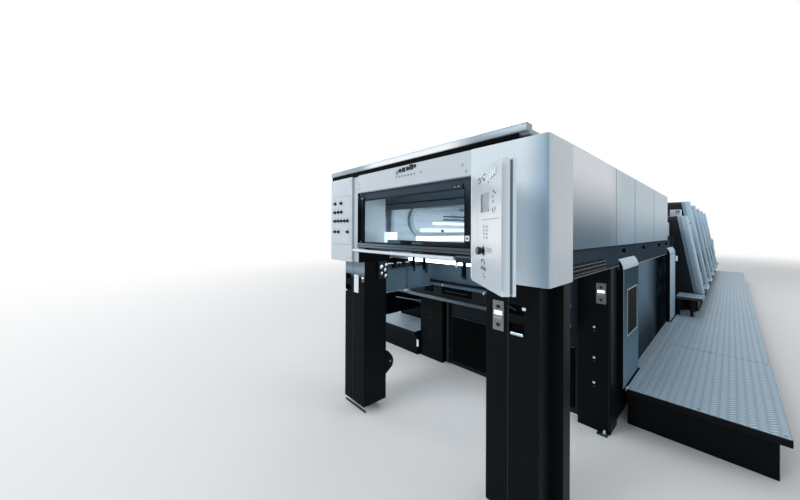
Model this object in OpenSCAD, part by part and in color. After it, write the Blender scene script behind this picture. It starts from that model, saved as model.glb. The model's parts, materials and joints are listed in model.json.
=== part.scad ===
// Sheet-fed offset printing press: delivery, coater, five printing units and feeder.
// Millimetres, +Z up. The delivery faces -Y and the sheets travel from the feeder towards it.
// The origin is on the floor, on the centre plane, in the middle of the machine bed.

/* [Delivery hood] */
// Width over the front boxes
hood_w = 1910; // [1880:5:1960]
// Width over the side panels
guard_w = 1800; // [1780:5:1830]
// Height of the boxes and of the chassis plates above the floor
hood_h = 2000; // [1970:5:2040]
// Underside of the boxes and of the chassis plates above the floor
hood_under = 1295; // [1285:5:1310]
// Distance from the hood front to the end of the side panels
hood_len = 4200; // [4150:10:4260]
// Length of the bulging tail behind them
tail_len = 340; // [300:10:360]
// Thickness of the side panels
panel_t = 35; // [25:1:45]
// Lower edge of the side panels above the floor
panel_low = 1449; // [1440:1:1460]
// Joint between two side panels
panel_joint = 4; // [3:1:6]
// Thickness of the chassis plates
chassis_t = 50; // [40:5:60]
// Thickness of the roof
roof_t = 28; // [20:1:40]
// Shadow gap under the roof
roof_gap = 20; // [15:1:30]
// Thickness of the lip at the roof's front
lip_t = 40; // [25:1:45]
// Depth of the lip
lip_d = 60; // [40:5:90]
// Shadow gap under the lip
lip_gap = 31; // [22:1:40]

/* [Front boxes] */
// Width of each front box
box_w = 415; // [405:1:425]
// Depth of the front boxes
box_d = 300; // [270:5:320]
// Radius of their outer front corners
box_r = 25; // [20:1:60]
// Height of the fascia over the window
fascia_h = 143; // [130:1:155]
// Thickness of the fascia
fascia_t = 120; // [80:1:150]
// Width of the left control plate
plate_w = 335; // [320:1:345]
// Thickness of the left control plate
plate_t = 22; // [15:1:30]

/* [Window] */
// Lower edge of the window frame above the floor
window_low = 1456; // [1450:1:1462]
// Width of the window border at its top and right
border_w = 62; // [55:1:66]
// Width of the window border at its left
border_left = 38; // [30:1:45]
// Width of the window border at its bottom
border_low = 8; // [6:1:30]
// Thickness of the window frame
frame_t = 24; // [20:1:30]
// Thickness of the glass
glass_t = 8; // [6:1:10]
// Height of the sill under the window
sill_h = 36; // [32:1:40]
// Depth of the sill
sill_d = 70; // [60:1:90]
// Diameter of the hand rail under the sill
rail_d = 22; // [18:1:26]
// Distance from the sill down to the rail axis
rail_drop = 25; // [22:1:40]

/* [Swing panel] */
// Width of the swing panel
swing_w = 409; // [390:1:420]
// Height of the swing panel
swing_h = 536; // [510:2:560]
// Distance from the underside of the boxes to that of the panel
swing_up = 6; // [4:1:12]
// Thickness of the front shell
swing_t = 34; // [28:1:38]
// Thickness of the back plate
swing_back_t = 15; // [12:1:18]
// Groove between the two shells
swing_gap = 9; // [8:1:12]
// Angle that the panel stands open, in degrees
swing_open = 40; // [30:1:50]
// Distance from the hood's inner box edge to the hinge axis
swing_in = 61; // [55:1:70]
// Diameter of the hinge pins
pin_d = 12; // [10:1:14]
// Wall of the knuckles around the pins
knuckle_wall = 6; // [5:1:7]
// Height of one hinge knuckle
knuckle_h = 60; // [50:1:70]
// Distance from the panel's ends to the knuckles
knuckle_up = 60; // [50:1:80]

/* [Legs and posts] */
// Clear width between the front legs
bay_w = 1152; // [1130:2:1180]
// Width of a leg cover
leg_w = 294; // [285:1:300]
// Depth of a leg cover
leg_d = 142; // [130:1:150]
// Set-back of the legs behind the hood front
leg_set = 100; // [80:5:110]
// Depth of the leg frame behind the cover
leg_frame_d = 98; // [80:1:110]
// How far the frame stands out past the cover
leg_frame_out = 60; // [50:1:65]
// Distance from a leg's inner edge to its recesses, on the right
recess_right = 136; // [120:1:150]
// The same on the left
recess_left = 203; // [190:1:210]
// Height of the recessed leg foot
foot_h = 70; // [60:5:80]
// How far the foot is set back from the leg's sides and front
foot_in = 100; // [80:5:110]
// Distance from the hood front to the rear posts
post_y = 1350; // [1330:5:1380]
// Width of a rear post
post_w = 227; // [210:1:240]
// Depth of a rear post
post_d = 200; // [180:5:220]

/* [Delivery base] */
// Length of the base behind the rear posts
base_len = 3300; // [3200:5:3340]
// Depth of the recess between the rear posts
recess_d = 110; // [90:5:140]
// Distance from the hood front to the wall over that recess
wall_y = 1200; // [1180:5:1230]
// Height of the beam across the foot of that wall
back_z = 800; // [780:5:820]
// Height of the rail across it
back_rail_z = 955; // [940:5:970]
// Distance from the centre plane to the end of the shelf on the drive side
shelf_out = 1600; // [1500:10:1700]
// Depth of that shelf
shelf_d = 200; // [150:10:300]
// Set-back of the drive-side post behind the rear post
back_set = 40; // [35:1:50]
// Thickness of the rail and of the beam across the back wall
back_rail_t = 30; // [25:1:36]
// Lower edge of the guard on the left side of the pile
guard_low = 955; // [945:5:980]
// Upper edge of that guard
guard_top = 1258; // [1240:1:1260]
// Extra width of the base on its drive side
drive_w = 235; // [220:5:245]
// Inner edge of the drive-side post, from the centre plane
drive_in = 800; // [780:5:820]
// Height of the drive-side post
drive_h = 800; // [780:5:820]
// Thickness of the dark band
band_t = 20; // [16:1:24]
// Lower edge of the dark band above the floor
band_low = 1257; // [1245:1:1265]
// Thickness of the lower panels
lower_t = 15; // [12:1:18]
// Length of each guard cabinet
cabinet_len = 580; // [560:5:600]
// How far the cabinets stand out of the dark band
cabinet_out = 35; // [30:1:40]
// Height at which their tops begin to round off
cabinet_z = 1250; // [1230:1:1256]
// Radius of their rounded tops
cabinet_r = 126; // [110:1:130]

/* [Neck] */
// Length of the neck between base and coater
neck_len = 550; // [520:10:600]
// Width of the neck
neck_w = 1600; // [1560:10:1640]
// Height of the neck at the coater
neck_h = 1640; // [1600:10:1700]

/* [Gallery] */
// Height of the gallery deck
deck_z = 300; // [280:2:310]
// Thickness of the deck lip
deck_t = 50; // [40:1:60]
// Distance from the centre plane to the outer edge
deck_out = 1755; // [1700:5:1800]
// Distance from the hood front to the near end of the deck
deck_y = 1585; // [1560:5:1640]
// Height of the raised deck on the drive side
high_z = 550; // [530:5:560]
// Distance from the centre plane to its outer edge
high_out = 2050; // [2000:10:2080]
// Distance from the hood front to the step in front of it
step_y = 1300; // [1280:5:1320]
// Depth of that step
step_d = 480; // [440:10:500]
// Gap between deck and machine
deck_gap = 12; // [8:1:16]
// Joint between two deck plates
deck_joint = 4; // [3:1:6]
// Set-back of the plinth under the deck
plinth_set = 48; // [40:1:60]
// Depth of the step bench in the access bay
bench_len = 470; // [440:5:500]
// Distance from the centre plane to its outer edge
bench_out = 1220; // [1190:5:1240]

/* [Printing units] */
// Distance from one unit to the next
unit_pitch = 1300; // [1260:10:1340]
// Height of a printing unit
unit_h = 2160; // [2120:5:2200]
// Height of the coater
coater_h = 1830; // [1800:5:1860]
// Half width of the unit cores at the footboards
unit_low = 1093; // [1080:1:1100]
// Half width of the unit cores at their top
unit_top = 834; // [815:1:850]
// Height of the machine bed
bed_h = 545; // [530:1:560]
// Half width of the machine bed
bed_half = 1140; // [1120:5:1150]
// Thickness of the footboards
step_t = 35; // [30:1:40]
// Distance from the centre plane to the footboards' outer edge
step_out = 1222; // [1200:2:1230]
// Thickness of the leaning side covers
cover_t = 120; // [110:1:130]
// Length of a side cover
cover_len = 700; // [660:10:760]
// How far its rear edge is drawn in
cover_toe = 32; // [20:1:40]
// Radius of the front and rear edges of a cover
cover_r = 40; // [30:5:45]
// Half width of the closed part between two units
gap_half = 860; // [820:5:900]
// Height of the closed lower part of a unit
lower_h = 1180; // [1150:5:1250]
// Height of the terminal box on the coater
terminal_h = 110; // [90:5:130]
// Width of the terminal box
terminal_w = 140; // [120:5:160]

/* [Feeder] */
// Length of the feeder
feeder_len = 2800; // [2700:10:2900]
// Height of the feeder side frames
feeder_h = 1330; // [1300:5:1360]
// Clear width between the side frames
feeder_bay = 1500; // [1450:5:1550]
// Thickness of a side frame
feeder_t = 260; // [220:5:300]
// Length of the feed board
board_len = 1150; // [1100:5:1200]
// Thickness of the feed board
board_t = 60; // [50:1:80]
// Rise of the feed board towards the pile
board_rise = 110; // [80:5:130]
// Width of the pile board
pile_w = 1100; // [1050:5:1150]
// Length of the pile board
pile_len = 780; // [740:5:820]
// Height of the pile board above the floor
pile_z = 180; // [150:5:220]
// Thickness of the pile board
pile_t = 40; // [35:1:50]

/* [Hidden] */
$fn = 48;
half_w = hood_w / 2;
box_in = half_w - box_w;
guard_out = guard_w / 2;
chassis_out = guard_out - panel_t;
chassis_in = chassis_out - chassis_t;
leg_in = bay_w / 2;
leg_out = leg_in + leg_w + leg_frame_out;
leg_end = leg_set + leg_d + leg_frame_d;
window_top = hood_h - fascia_h;
rail_z = window_low - sill_h - rail_drop;
post_in = chassis_out + lower_t - post_w;
hood_seams = [1410, 2090, 3100];
deck_seams = [3140, 5360, 9300];
latch_holes = [1690, 2530, 3510, hood_len - 90];
tail_in = 100;
base_y = post_y + post_d;
base_end = base_y + base_len;
band_out = chassis_out + band_t;
cabinet_x = band_out + cabinet_out;
drive_out = cabinet_x + drive_w;
tail_end = hood_len + tail_len;
unit_y = base_end + neck_len;
unit_count = 6;
unit_end = unit_y + unit_count * unit_pitch;
feeder_end = unit_end + feeder_len;
foot_z = bed_h + step_t;
lean = atan((unit_low - unit_top) / (unit_h - foot_z));
unit_foot = unit_low + cover_t;
cover_seam = 0.3;
deck_in = bed_half + deck_gap;
deck_near_in = cabinet_x + deck_gap;
deck_reach = cabinet_x - chassis_out - lower_t + deck_gap - deck_joint;
deck_end = unit_end - cover_r;
front_y = -(base_end + unit_end) / 2;

swing_total = swing_t + swing_gap + swing_back_t;
swing_z = hood_under + swing_up;
swing_clear = 7;
pin_r = pin_d / 2;
knuckle_r = pin_r + knuckle_wall;
pin_x = box_in + swing_in;
pin_y = -swing_total / 2 - swing_clear;

WHITE = "#dfe5ea";
SILVER = "#9fb2bf";
DARK = "#20262b";
BLACK = "#101315";
STEEL = "#5b6a75";
TREAD = "#8aa0b0";

// A block between two opposite corners.
module block(a, b) translate(a) cube(b - a);

// Places a shape that is drawn from the hood front in the frame of the whole press.
module from_front() translate([0, front_y, 0]) children();

// Turns a right-hand piece into its left-hand twin.
module left() mirror([1, 0, 0]) children();

// A right-hand piece and its left-hand twin.
module both() {
    children();
    left() children();
}

// A profile drawn in Y and Z, made w wide across the centre plane.
module across(w) translate([-w / 2, 0, 0]) rotate([90, 0, 90]) linear_extrude(w) children();

// Half width of a unit's core at the height z.
function core_half(z) = unit_low - (z - foot_z) * tan(lean);

// Leg with a recessed foot, a cover with two recesses and a wider frame behind it.
module delivery_leg(recess_in) color(BLACK) from_front() {
    y1 = leg_set + leg_d;
    x = leg_in + recess_in;
    difference() {
        block([leg_in, leg_set, foot_h], [leg_in + leg_w, y1, hood_under]);
        for (z = [hood_under - 169, hood_under - 263])
            block([x, leg_set - 1, z], [x + 80, leg_set + 45, z + 46]);
    }
    block([leg_in, y1, foot_h], [leg_out, leg_end, hood_under]);
    block([leg_in + foot_in, leg_set + foot_in, 0], [leg_out - foot_in, leg_end - 25, foot_h]);
}

module rear_post_right() color(BLACK) from_front()
    block([post_in, post_y, 0], [chassis_out + lower_t, base_y, hood_under]);

// The drive-side post is wider and lower.
module rear_post_left() color(BLACK) from_front()
    block([-drive_out, post_y + back_set, 0], [-drive_in, base_y, drive_h]);

// White box with a rounded outer front corner, set back where a plate covers it.
module front_box(set) color(WHITE) from_front()
    translate([0, 0, hood_under]) linear_extrude(hood_h - hood_under) {
        translate([box_in, set]) square([box_w - box_r, box_d - set]);
        translate([half_w - box_r, set + box_r]) square([box_r, box_d - set - box_r]);
        translate([half_w - box_r, set + box_r]) circle(box_r);
    }

module left_control_plate() color(WHITE) from_front()
    block([-half_w, 0, hood_under], [-half_w + plate_w, plate_t, hood_h]);

module fascia() color(WHITE) from_front()
    block([-box_in, 8, window_top], [box_in, 8 + fascia_t, hood_h]);

// Roof between the side panels, with a front lip that ends short of the right-hand box.
module hood_roof() color(SILVER) from_front() {
    z0 = hood_h + roof_gap;
    lip_z = hood_h + lip_gap;
    block([-half_w, 0, lip_z], [half_w - box_w / 4, lip_d, lip_z + lip_t]);
    block([-half_w, lip_d / 2, z0], [half_w - box_w / 4, box_d, z0 + roof_t]);
    block([-chassis_out, box_d, z0], [chassis_out, hood_len + tail_in, z0 + roof_t]);
    block([-chassis_in, fascia_t, hood_h], [chassis_in, hood_len, z0]);
}

// Dark border of the window, let in between the front boxes.
module window_frame() color(DARK) from_front() difference() {
    block([-box_in, 30, window_low], [box_in, 30 + frame_t, window_top]);
    block([-box_in + border_left, 29, window_low + border_low],
        [box_in - border_w, 31 + frame_t, window_top - border_w]);
}

module window_glass() color("lightblue", 0.4) from_front()
    block([-box_in + border_left, 30 + (frame_t - glass_t) / 2, window_low + border_low],
        [box_in - border_w, 30 + (frame_t + glass_t) / 2, window_top - border_w]);

// Sill under the window, and the hand rail on two brackets.
module sill_and_rail() color(SILVER) from_front() {
    block([-box_in, 0, window_low - sill_h], [box_in, sill_d, window_low]);
    translate([-box_in, rail_d / 2, rail_z]) rotate([0, 90, 0]) cylinder(d = rail_d, h = 2 * box_in);
    for (s = [-1, 1])
        block([s * (box_in - 60) - 20, rail_d / 2, rail_z],
            [s * (box_in - 60) + 20, rail_d, window_low - sill_h]);
}

// The swing panel closed, with its hinge axis on the Z axis and its face towards -Y.
module swing_panel_closed() {
    x0 = knuckle_r + 2;
    y0 = -swing_total / 2;
    z1 = swing_z + swing_h;
    block([x0, y0, swing_z], [x0 + swing_w, y0 + swing_t, z1]);
    block([x0, y0 + swing_t, swing_z + 12], [x0 + swing_w - 30, y0 + swing_t + swing_gap, z1 - 12]);
    block([x0, y0 + swing_t + swing_gap, swing_z], [x0 + swing_w, y0 + swing_total, z1]);
    for (z = [swing_z + knuckle_up, z1 - knuckle_up - knuckle_h])
        difference() {
            union() {
                translate([0, 0, z]) cylinder(r = knuckle_r, h = knuckle_h);
                block([0, -pin_r, z], [x0, pin_r, z + knuckle_h]);
            }
            translate([0, 0, z - 1]) cylinder(r = pin_r + 0.1, h = knuckle_h + 2);
        }
}

module swing_panel() color(WHITE) from_front()
    translate([pin_x, pin_y, 0]) rotate([0, 0, -swing_open]) swing_panel_closed();

// Two pins in brackets that stand out of the right-hand front box.
module panel_hinge() color(STEEL) from_front() {
    bracket_t = 10;
    r = knuckle_r - 2;
    for (z = [swing_z + knuckle_up, swing_z + swing_h - knuckle_up - knuckle_h]) {
        translate([pin_x, pin_y, z - bracket_t - 1]) cylinder(r = pin_r, h = knuckle_h + 2 * bracket_t + 2);
        for (zb = [z - bracket_t - 1, z + knuckle_h + 1]) {
            translate([pin_x, pin_y, zb]) cylinder(r = r, h = bracket_t);
            block([pin_x - r, pin_y, zb], [pin_x + r, 0, zb + bracket_t]);
        }
    }
}

// Inner side plates that carry the panels and the roof.
module hood_chassis() color(STEEL) from_front() both()
    block([chassis_in, box_d, hood_under], [chassis_out, hood_len, hood_h]);

// Four silver panels with open joints.
module side_panels() color(SILVER) from_front() {
    joints = concat([box_d], hood_seams, [hood_len]);
    for (i = [0:3])
        block([chassis_out, joints[i] + (i > 0 ? panel_joint : 0), panel_low],
            [guard_out, joints[i + 1], hood_h + roof_gap + roof_t - 8]);
}

// Dark band under the panels, with square latch holes and an air grille at the front.
module side_band() color(DARK) from_front() difference() {
    union() {
        block([chassis_out, box_d, hood_under], [band_out, base_y, panel_low]);
        block([chassis_out, base_y, band_low], [band_out, tail_end, panel_low]);
    }
    for (y = latch_holes)
        block([chassis_out + 5, y - 15, 1385], [band_out + 1, y + 15, 1415]);
    for (row = [0:2], n = [0:7])
        block([chassis_out + 8, 460 + n * 92, hood_under + 4 + row * 24],
            [band_out + 1, 530 + n * 92, hood_under + 16 + row * 24]);
}

// Base with a wider drive side, and a wall that stands forward over the recess behind the pile.
module delivery_base() color(DARK) from_front() {
    block([-drive_in, post_y + recess_d, 0], [post_in, base_y, drive_h]);
    block([-drive_out, wall_y, drive_h], [post_in, base_y, hood_under]);
    block([-chassis_out - drive_w, base_y, 0], [chassis_out, base_end, band_low]);
    block([-chassis_out, base_y, band_low], [chassis_out, base_end, hood_under]);
}

// Rail and beam across the back wall, the shelf at their end and the guard beside the pile.
module pile_guards() color(STEEL) from_front() {
    for (z = [back_z, back_rail_z])
        block([-drive_out, wall_y - back_rail_t, z], [post_in, wall_y, z + back_rail_t]);
    block([-shelf_out, wall_y - back_rail_t, back_z],
        [-drive_out, wall_y - back_rail_t + shelf_d, back_z + back_rail_t]);
    block([-drive_in - 20, leg_end, guard_low], [-drive_in, wall_y - back_rail_t, guard_top]);
}

// Lower panels on both sides between the guard cabinets.
module lower_panels() color(STEEL) from_front() {
    lower_pair();
    translate([-drive_w, 0, 0]) left() lower_pair();
}

module lower_pair() {
    joint = hood_seams[2] - 100;
    y0 = base_y + cabinet_len + panel_joint;
    y1 = base_end - cabinet_len - panel_joint;
    x1 = chassis_out + lower_t;
    block([chassis_out, y0, deck_z], [x1, joint, band_low - 2]);
    block([chassis_out, joint + panel_joint, deck_z], [x1, y1, band_low - 2]);
}

// Four cabinets whose tops round off in front of the dark band.
module guard_cabinets() color(STEEL) from_front() {
    cabinet_pair();
    translate([-drive_w, 0, 0]) left() cabinet_pair();
}

module cabinet_pair() {
    guard_cabinet(base_y);
    guard_cabinet(base_end - cabinet_len);
}

module guard_cabinet(y0) {
    y1 = y0 + cabinet_len;
    block([chassis_out, y0, deck_z], [cabinet_x, y1, cabinet_z]);
    intersection() {
        block([band_out, y0, cabinet_z], [cabinet_x, y1, cabinet_z + cabinet_r]);
        translate([cabinet_x - cabinet_r, y0, cabinet_z]) rotate([-90, 0, 0])
            cylinder(r = cabinet_r, h = cabinet_len);
    }
}

// Plate across the hood with a round-cornered opening that shows through the window.
module inner_portal() color(SILVER) from_front() {
    r = 190;
    w = chassis_in - 60;
    z0 = hood_under + 120;
    z1 = hood_h - 110;
    translate([0, 590, 0]) rotate([90, 0, 0]) linear_extrude(40) difference() {
        translate([-chassis_in, hood_under]) square([2 * chassis_in, hood_h - hood_under]);
        translate([-w, z0]) square([2 * w, z1 - r - z0]);
        translate([-w + r, z0]) square([2 * (w - r), z1 - z0]);
        for (s = [-1, 1]) translate([s * (w - r), z1 - r]) circle(r);
    }
}

// Chain tracks on both sides, and the gripper bars between them.
module chain_tracks() color(STEEL) from_front() {
    r = 170;
    bore = 125;
    track_t = 40;
    start = 1000;
    bar_pitch = 600;
    zc = hood_h - 330;
    x = chassis_in - track_t;
    for (s = [-1, 1]) translate([s > 0 ? x : -chassis_in, 0, 0]) rotate([90, 0, 90])
        linear_extrude(track_t) difference() {
            union() {
                translate([start, zc]) circle(r);
                translate([start, zc - r]) square([hood_len - start, 2 * r]);
            }
            translate([start, zc]) circle(bore);
            translate([start, zc - bore]) square([hood_len - start - r + bore, 2 * bore]);
        }
    for (i = [0:3])
        translate([-x, start + 100 + i * bar_pitch, zc + (r + bore) / 2]) rotate([0, 90, 0])
            cylinder(d = 36, h = 2 * x);
}

// Lamp bar over the pile with three rods that hang from it, and the brake roller beam behind it.
module sheet_brake() color(STEEL) from_front() {
    bar_y = 850;
    bar_t = 30;
    rod_d = 24;
    rod_len = 126;
    beam_y = 1110;
    block([-chassis_in - 10, bar_y - bar_t / 2, hood_under - bar_t],
        [chassis_in + 10, bar_y + bar_t / 2, hood_under]);
    for (x = [-0.9, -0.69, -0.154])
        translate([x * chassis_in, bar_y, hood_under - bar_t - rod_len]) cylinder(d = rod_d, h = rod_len);
    block([-chassis_in, beam_y, hood_under + 15], [chassis_in, beam_y + 40, hood_under + 75]);
}

// End of the hood over the neck, with a bulge that is round seen from the side.
module hood_tail() color(SILVER) from_front() across(2 * chassis_out) {
    r = tail_len / 2;
    zc = panel_low + 151;
    translate([hood_len, hood_under]) square([tail_in, hood_h + roof_gap - hood_under]);
    translate([hood_len, hood_under]) square([tail_len - 92, zc - hood_under]);
    translate([tail_end - r, zc]) circle(r);
}

// Closed channel that carries the chains from the coater up to the hood.
module delivery_neck() color(STEEL) from_front()
    across(neck_w) polygon([[base_end, bed_h], [unit_y, bed_h], [unit_y, neck_h],
        [tail_end, hood_h - 60], [tail_end, hood_under], [base_end, hood_under]]);

module machine_bed() color(BLACK) from_front() {
    block([-bed_half, unit_y, 0], [bed_half, unit_end, bed_h]);
    block([-chassis_out, base_end, 0], [chassis_out, unit_y, bed_h]);
}

// Core of one unit: a leaning tower on a wider foot, and a lower part that joins it to the next.
module unit_core(n, top) color(DARK) from_front() {
    y0 = unit_y + n * unit_pitch;
    slope = 260;
    set_back = 150;
    intersection() {
        translate([0, y0 + cover_len, 0]) rotate([90, 0, 0]) linear_extrude(cover_len)
            polygon([[-unit_foot, bed_h], [unit_foot, bed_h], [unit_foot, foot_z], [unit_low, foot_z],
                [core_half(top), top], [-core_half(top), top], [-unit_low, foot_z], [-unit_foot, foot_z]]);
        translate([0, y0, 0]) across(2 * unit_foot + 2)
            polygon([[0, bed_h], [cover_len, bed_h], [cover_len, top - slope],
                [cover_len - set_back, top], [60, top], [0, top - 60]]);
    }
    block([-gap_half, y0 + cover_len, bed_h], [gap_half, y0 + unit_pitch, lower_h]);
}

// Leaning side cover with rounded edges and a rear edge drawn in, standing on the unit's foot.
module side_cover(n, top) {
    y0 = unit_y + n * unit_pitch;
    turn = atan(cover_toe / (cover_len - 2 * cover_r));
    edge = cover_r * [cos(turn), sin(turn)];
    front = [cover_t - cover_r, cover_r];
    rear = [max(cover_r, cover_t - cover_toe - cover_r), cover_len - cover_r];
    intersection() {
        translate([unit_low + cover_seam, y0, foot_z]) rotate([0, -lean, 0])
            translate([0, 0, -200]) linear_extrude(unit_h) {
                polygon([[0, 0], [front[0], 0], front + edge, rear + edge, [rear[0], cover_len], [0, cover_len]]);
                for (c = [front, rear]) translate(c) circle(cover_r);
            }
        block([0, y0 - 1, foot_z], [2 * unit_low, y0 + cover_len + 1, top]);
    }
}

module unit_covers() color(SILVER) from_front()
    for (n = [0:unit_count - 1]) side_cover(n, n == 0 ? coater_h : unit_h);

// White terminal box on the coater's front corner.
module coater_terminal() color(WHITE) from_front()
    block([core_half(coater_h) - 95, unit_y + 70, coater_h],
        [core_half(coater_h) - 95 + terminal_w, unit_y + 170, coater_h + terminal_h]);

// Footboards between the units, on the edge of the bed.
module footboards() color(TREAD) from_front() both()
    for (n = [0:unit_count - 1]) {
        y0 = unit_y + n * unit_pitch;
        block([gap_half, y0 + cover_len, bed_h], [step_out, y0 + unit_pitch, foot_z]);
    }

// Right-hand tread-plate deck with open joints. Between the guard cabinets it reaches in to the
// lower panels.
module gallery_deck_right() color(TREAD) from_front() difference() {
    z0 = deck_z - deck_t;
    y1 = unit_y - deck_gap;
    clear = cabinet_len + deck_gap;
    union() {
        block([deck_near_in, deck_y, z0], [deck_out, y1, deck_z]);
        block([deck_near_in - deck_reach, base_y + clear, z0],
            [deck_near_in, base_end - clear, deck_z]);
        block([deck_in, y1, z0], [deck_out, deck_end, deck_z]);
    }
    deck_slots(z0, deck_out);
}

// Open joints across a deck.
module deck_slots(z0, out)
    for (y = deck_seams)
        block([0, y, z0 - 1], [out + 1, y + deck_joint, z0 + deck_t + 1]);

// Drive-side deck, level with the footboards, and the step in front of it.
module gallery_deck_left() color(TREAD) from_front() left() {
    y1 = unit_y - deck_gap;
    near = drive_out + deck_gap;
    z0 = high_z - deck_t;
    clear = cabinet_len + deck_gap;
    block([near, step_y, deck_z - deck_t], [high_out, step_y + step_d, deck_z]);
    difference() {
        union() {
            block([near, step_y + step_d, z0], [high_out, y1, high_z]);
            block([near - deck_reach, base_y + clear, z0], [near, base_end - clear, high_z]);
            block([deck_near_in, base_end + deck_gap, z0], [near, y1, high_z]);
            block([step_out + deck_gap, y1, z0], [high_out, deck_end, high_z]);
        }
        deck_slots(z0, high_out);
    }
}

module gallery_plinths() color(BLACK) from_front() {
    x1 = deck_out - plinth_set;
    z1 = deck_z - deck_t;
    block([deck_near_in, deck_y + plinth_set, 0], [x1, unit_y, z1]);
    block([bed_half, unit_y, 0], [x1, deck_end - plinth_set, z1]);
    left() drive_plinth();
}

// Plinths under the raised deck and its step.
module drive_plinth() {
    near = drive_out + deck_gap;
    x1 = high_out - plinth_set;
    z1 = high_z - deck_t;
    block([near, step_y + plinth_set, 0], [x1, step_y + step_d + plinth_set, deck_z - deck_t]);
    block([near, step_y + step_d + plinth_set, 0], [x1, unit_y, z1]);
    block([deck_near_in, base_end + deck_gap, 0], [near, unit_y, z1]);
    block([bed_half, unit_y, 0], [x1, deck_end - plinth_set, z1]);
}

// Bench step with a tread top, on four legs.
module step_bench() color(TREAD) from_front() {
    y0 = base_end + 20;
    z0 = foot_z - 40;
    leg = 35;
    block([cabinet_x + 5, y0, z0], [bench_out, y0 + bench_len, foot_z]);
    for (x = [deck_near_in + 5, bench_out - 100 - leg], y = [y0 + 10, y0 + bench_len - 10 - leg])
        block([x, y, deck_z], [x + leg, y + leg, z0]);
}

module feeder_frame() color(STEEL) from_front()
    translate([feeder_bay / 2, 0, 0]) rotate([90, 0, 90]) linear_extrude(feeder_t)
        polygon([[unit_end, 0], [feeder_end, 0], [feeder_end, feeder_h - 250], [feeder_end - 250, feeder_h],
            [unit_end, feeder_h]]);

module feed_board() color(STEEL) from_front()
    across(feeder_bay) polygon([[unit_end, lower_h - board_t],
        [unit_end + board_len, lower_h - board_t + board_rise],
        [unit_end + board_len, lower_h + board_rise], [unit_end, lower_h]]);

module feeder_head() color(SILVER) from_front() {
    y0 = unit_end + board_len + 250;
    block([-feeder_bay / 2 - feeder_t / 2, y0, feeder_h], [feeder_bay / 2 + feeder_t / 2, y0 + 260, feeder_h + 170]);
    block([-220, y0 + 60, feeder_h - 110], [220, y0 + 200, feeder_h]);
}

module pile_board() color("burlywood") from_front() {
    y0 = unit_end + board_len + 180;
    block([-pile_w / 2, y0, pile_z], [pile_w / 2, y0 + pile_len, pile_z + pile_t]);
    for (y = [y0 + 120, y0 + pile_len - 180])
        block([-feeder_bay / 2, y, pile_z - 50], [feeder_bay / 2, y + 60, pile_z]);
}

left() delivery_leg(recess_left);  // delivery_leg_left
delivery_leg(recess_right);  // delivery_leg_right
rear_post_left();
rear_post_right();
left() front_box(plate_t);  // front_box_left
front_box(0);  // front_box_right
left_control_plate();
fascia();
hood_roof();
window_frame();
window_glass();
sill_and_rail();
swing_panel();
panel_hinge();
hood_chassis();
left() side_panels();  // side_panels_left
side_panels();  // side_panels_right
left() side_band();  // side_band_left
side_band();  // side_band_right
delivery_base();
lower_panels();
guard_cabinets();
inner_portal();
chain_tracks();
sheet_brake();
hood_tail();
delivery_neck();
machine_bed();
unit_core(0, coater_h);  // coater
unit_core(1, unit_h);  // unit_1
unit_core(2, unit_h);  // unit_2
unit_core(3, unit_h);  // unit_3
unit_core(4, unit_h);  // unit_4
unit_core(5, unit_h);  // unit_5
left() unit_covers();  // unit_covers_left
unit_covers();  // unit_covers_right
footboards();
gallery_deck_left();
gallery_deck_right();
gallery_plinths();
step_bench();
left() feeder_frame();  // feeder_frame_left
feeder_frame();  // feeder_frame_right
feed_board();
feeder_head();
pile_board();
pile_guards();
coater_terminal();
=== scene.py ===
"""Looks of the offset printing press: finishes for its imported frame, detail pieces and a plain studio."""

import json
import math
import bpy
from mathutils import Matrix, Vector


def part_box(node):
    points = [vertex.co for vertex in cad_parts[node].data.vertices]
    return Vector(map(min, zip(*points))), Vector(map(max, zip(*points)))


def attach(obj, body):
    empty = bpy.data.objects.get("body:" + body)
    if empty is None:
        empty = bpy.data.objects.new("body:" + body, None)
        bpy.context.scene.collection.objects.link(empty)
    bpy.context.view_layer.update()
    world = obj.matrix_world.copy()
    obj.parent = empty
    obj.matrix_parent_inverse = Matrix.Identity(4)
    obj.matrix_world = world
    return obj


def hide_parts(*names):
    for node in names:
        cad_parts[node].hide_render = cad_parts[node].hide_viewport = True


bl_info = {
    "name": "Offset Printing Press",
    "version": (1, 0, 0),
    "blender": (4, 5, 0),
    "location": "3D View > Sidebar > Press",
    "description": "Finishes and detail pieces for a sheet-fed offset printing press",
    "category": "Object",
}

import bmesh
import bpy
from mathutils import Matrix, Vector

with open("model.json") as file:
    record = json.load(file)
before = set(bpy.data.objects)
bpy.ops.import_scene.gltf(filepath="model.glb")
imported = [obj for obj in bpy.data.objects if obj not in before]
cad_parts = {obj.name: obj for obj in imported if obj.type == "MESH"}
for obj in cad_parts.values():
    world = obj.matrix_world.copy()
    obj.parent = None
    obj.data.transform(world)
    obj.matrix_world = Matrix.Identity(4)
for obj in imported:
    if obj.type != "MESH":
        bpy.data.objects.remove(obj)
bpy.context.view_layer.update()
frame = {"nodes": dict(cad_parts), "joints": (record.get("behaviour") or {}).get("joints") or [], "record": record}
SLOTS = {row["node"]: row["material_slot"] for row in frame["record"]["subparts"]}

BODY = "press"
PANEL_BODY = "control_panel"
# How far the stored swing panel is turned from flat against its box
PANEL_TURN = math.radians(-40)
HOOD_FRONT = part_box("left_control_plate")[0].y
X, Y, Z = Vector((1, 0, 0)), Vector((0, 1, 0)), Vector((0, 0, 1))

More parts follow.
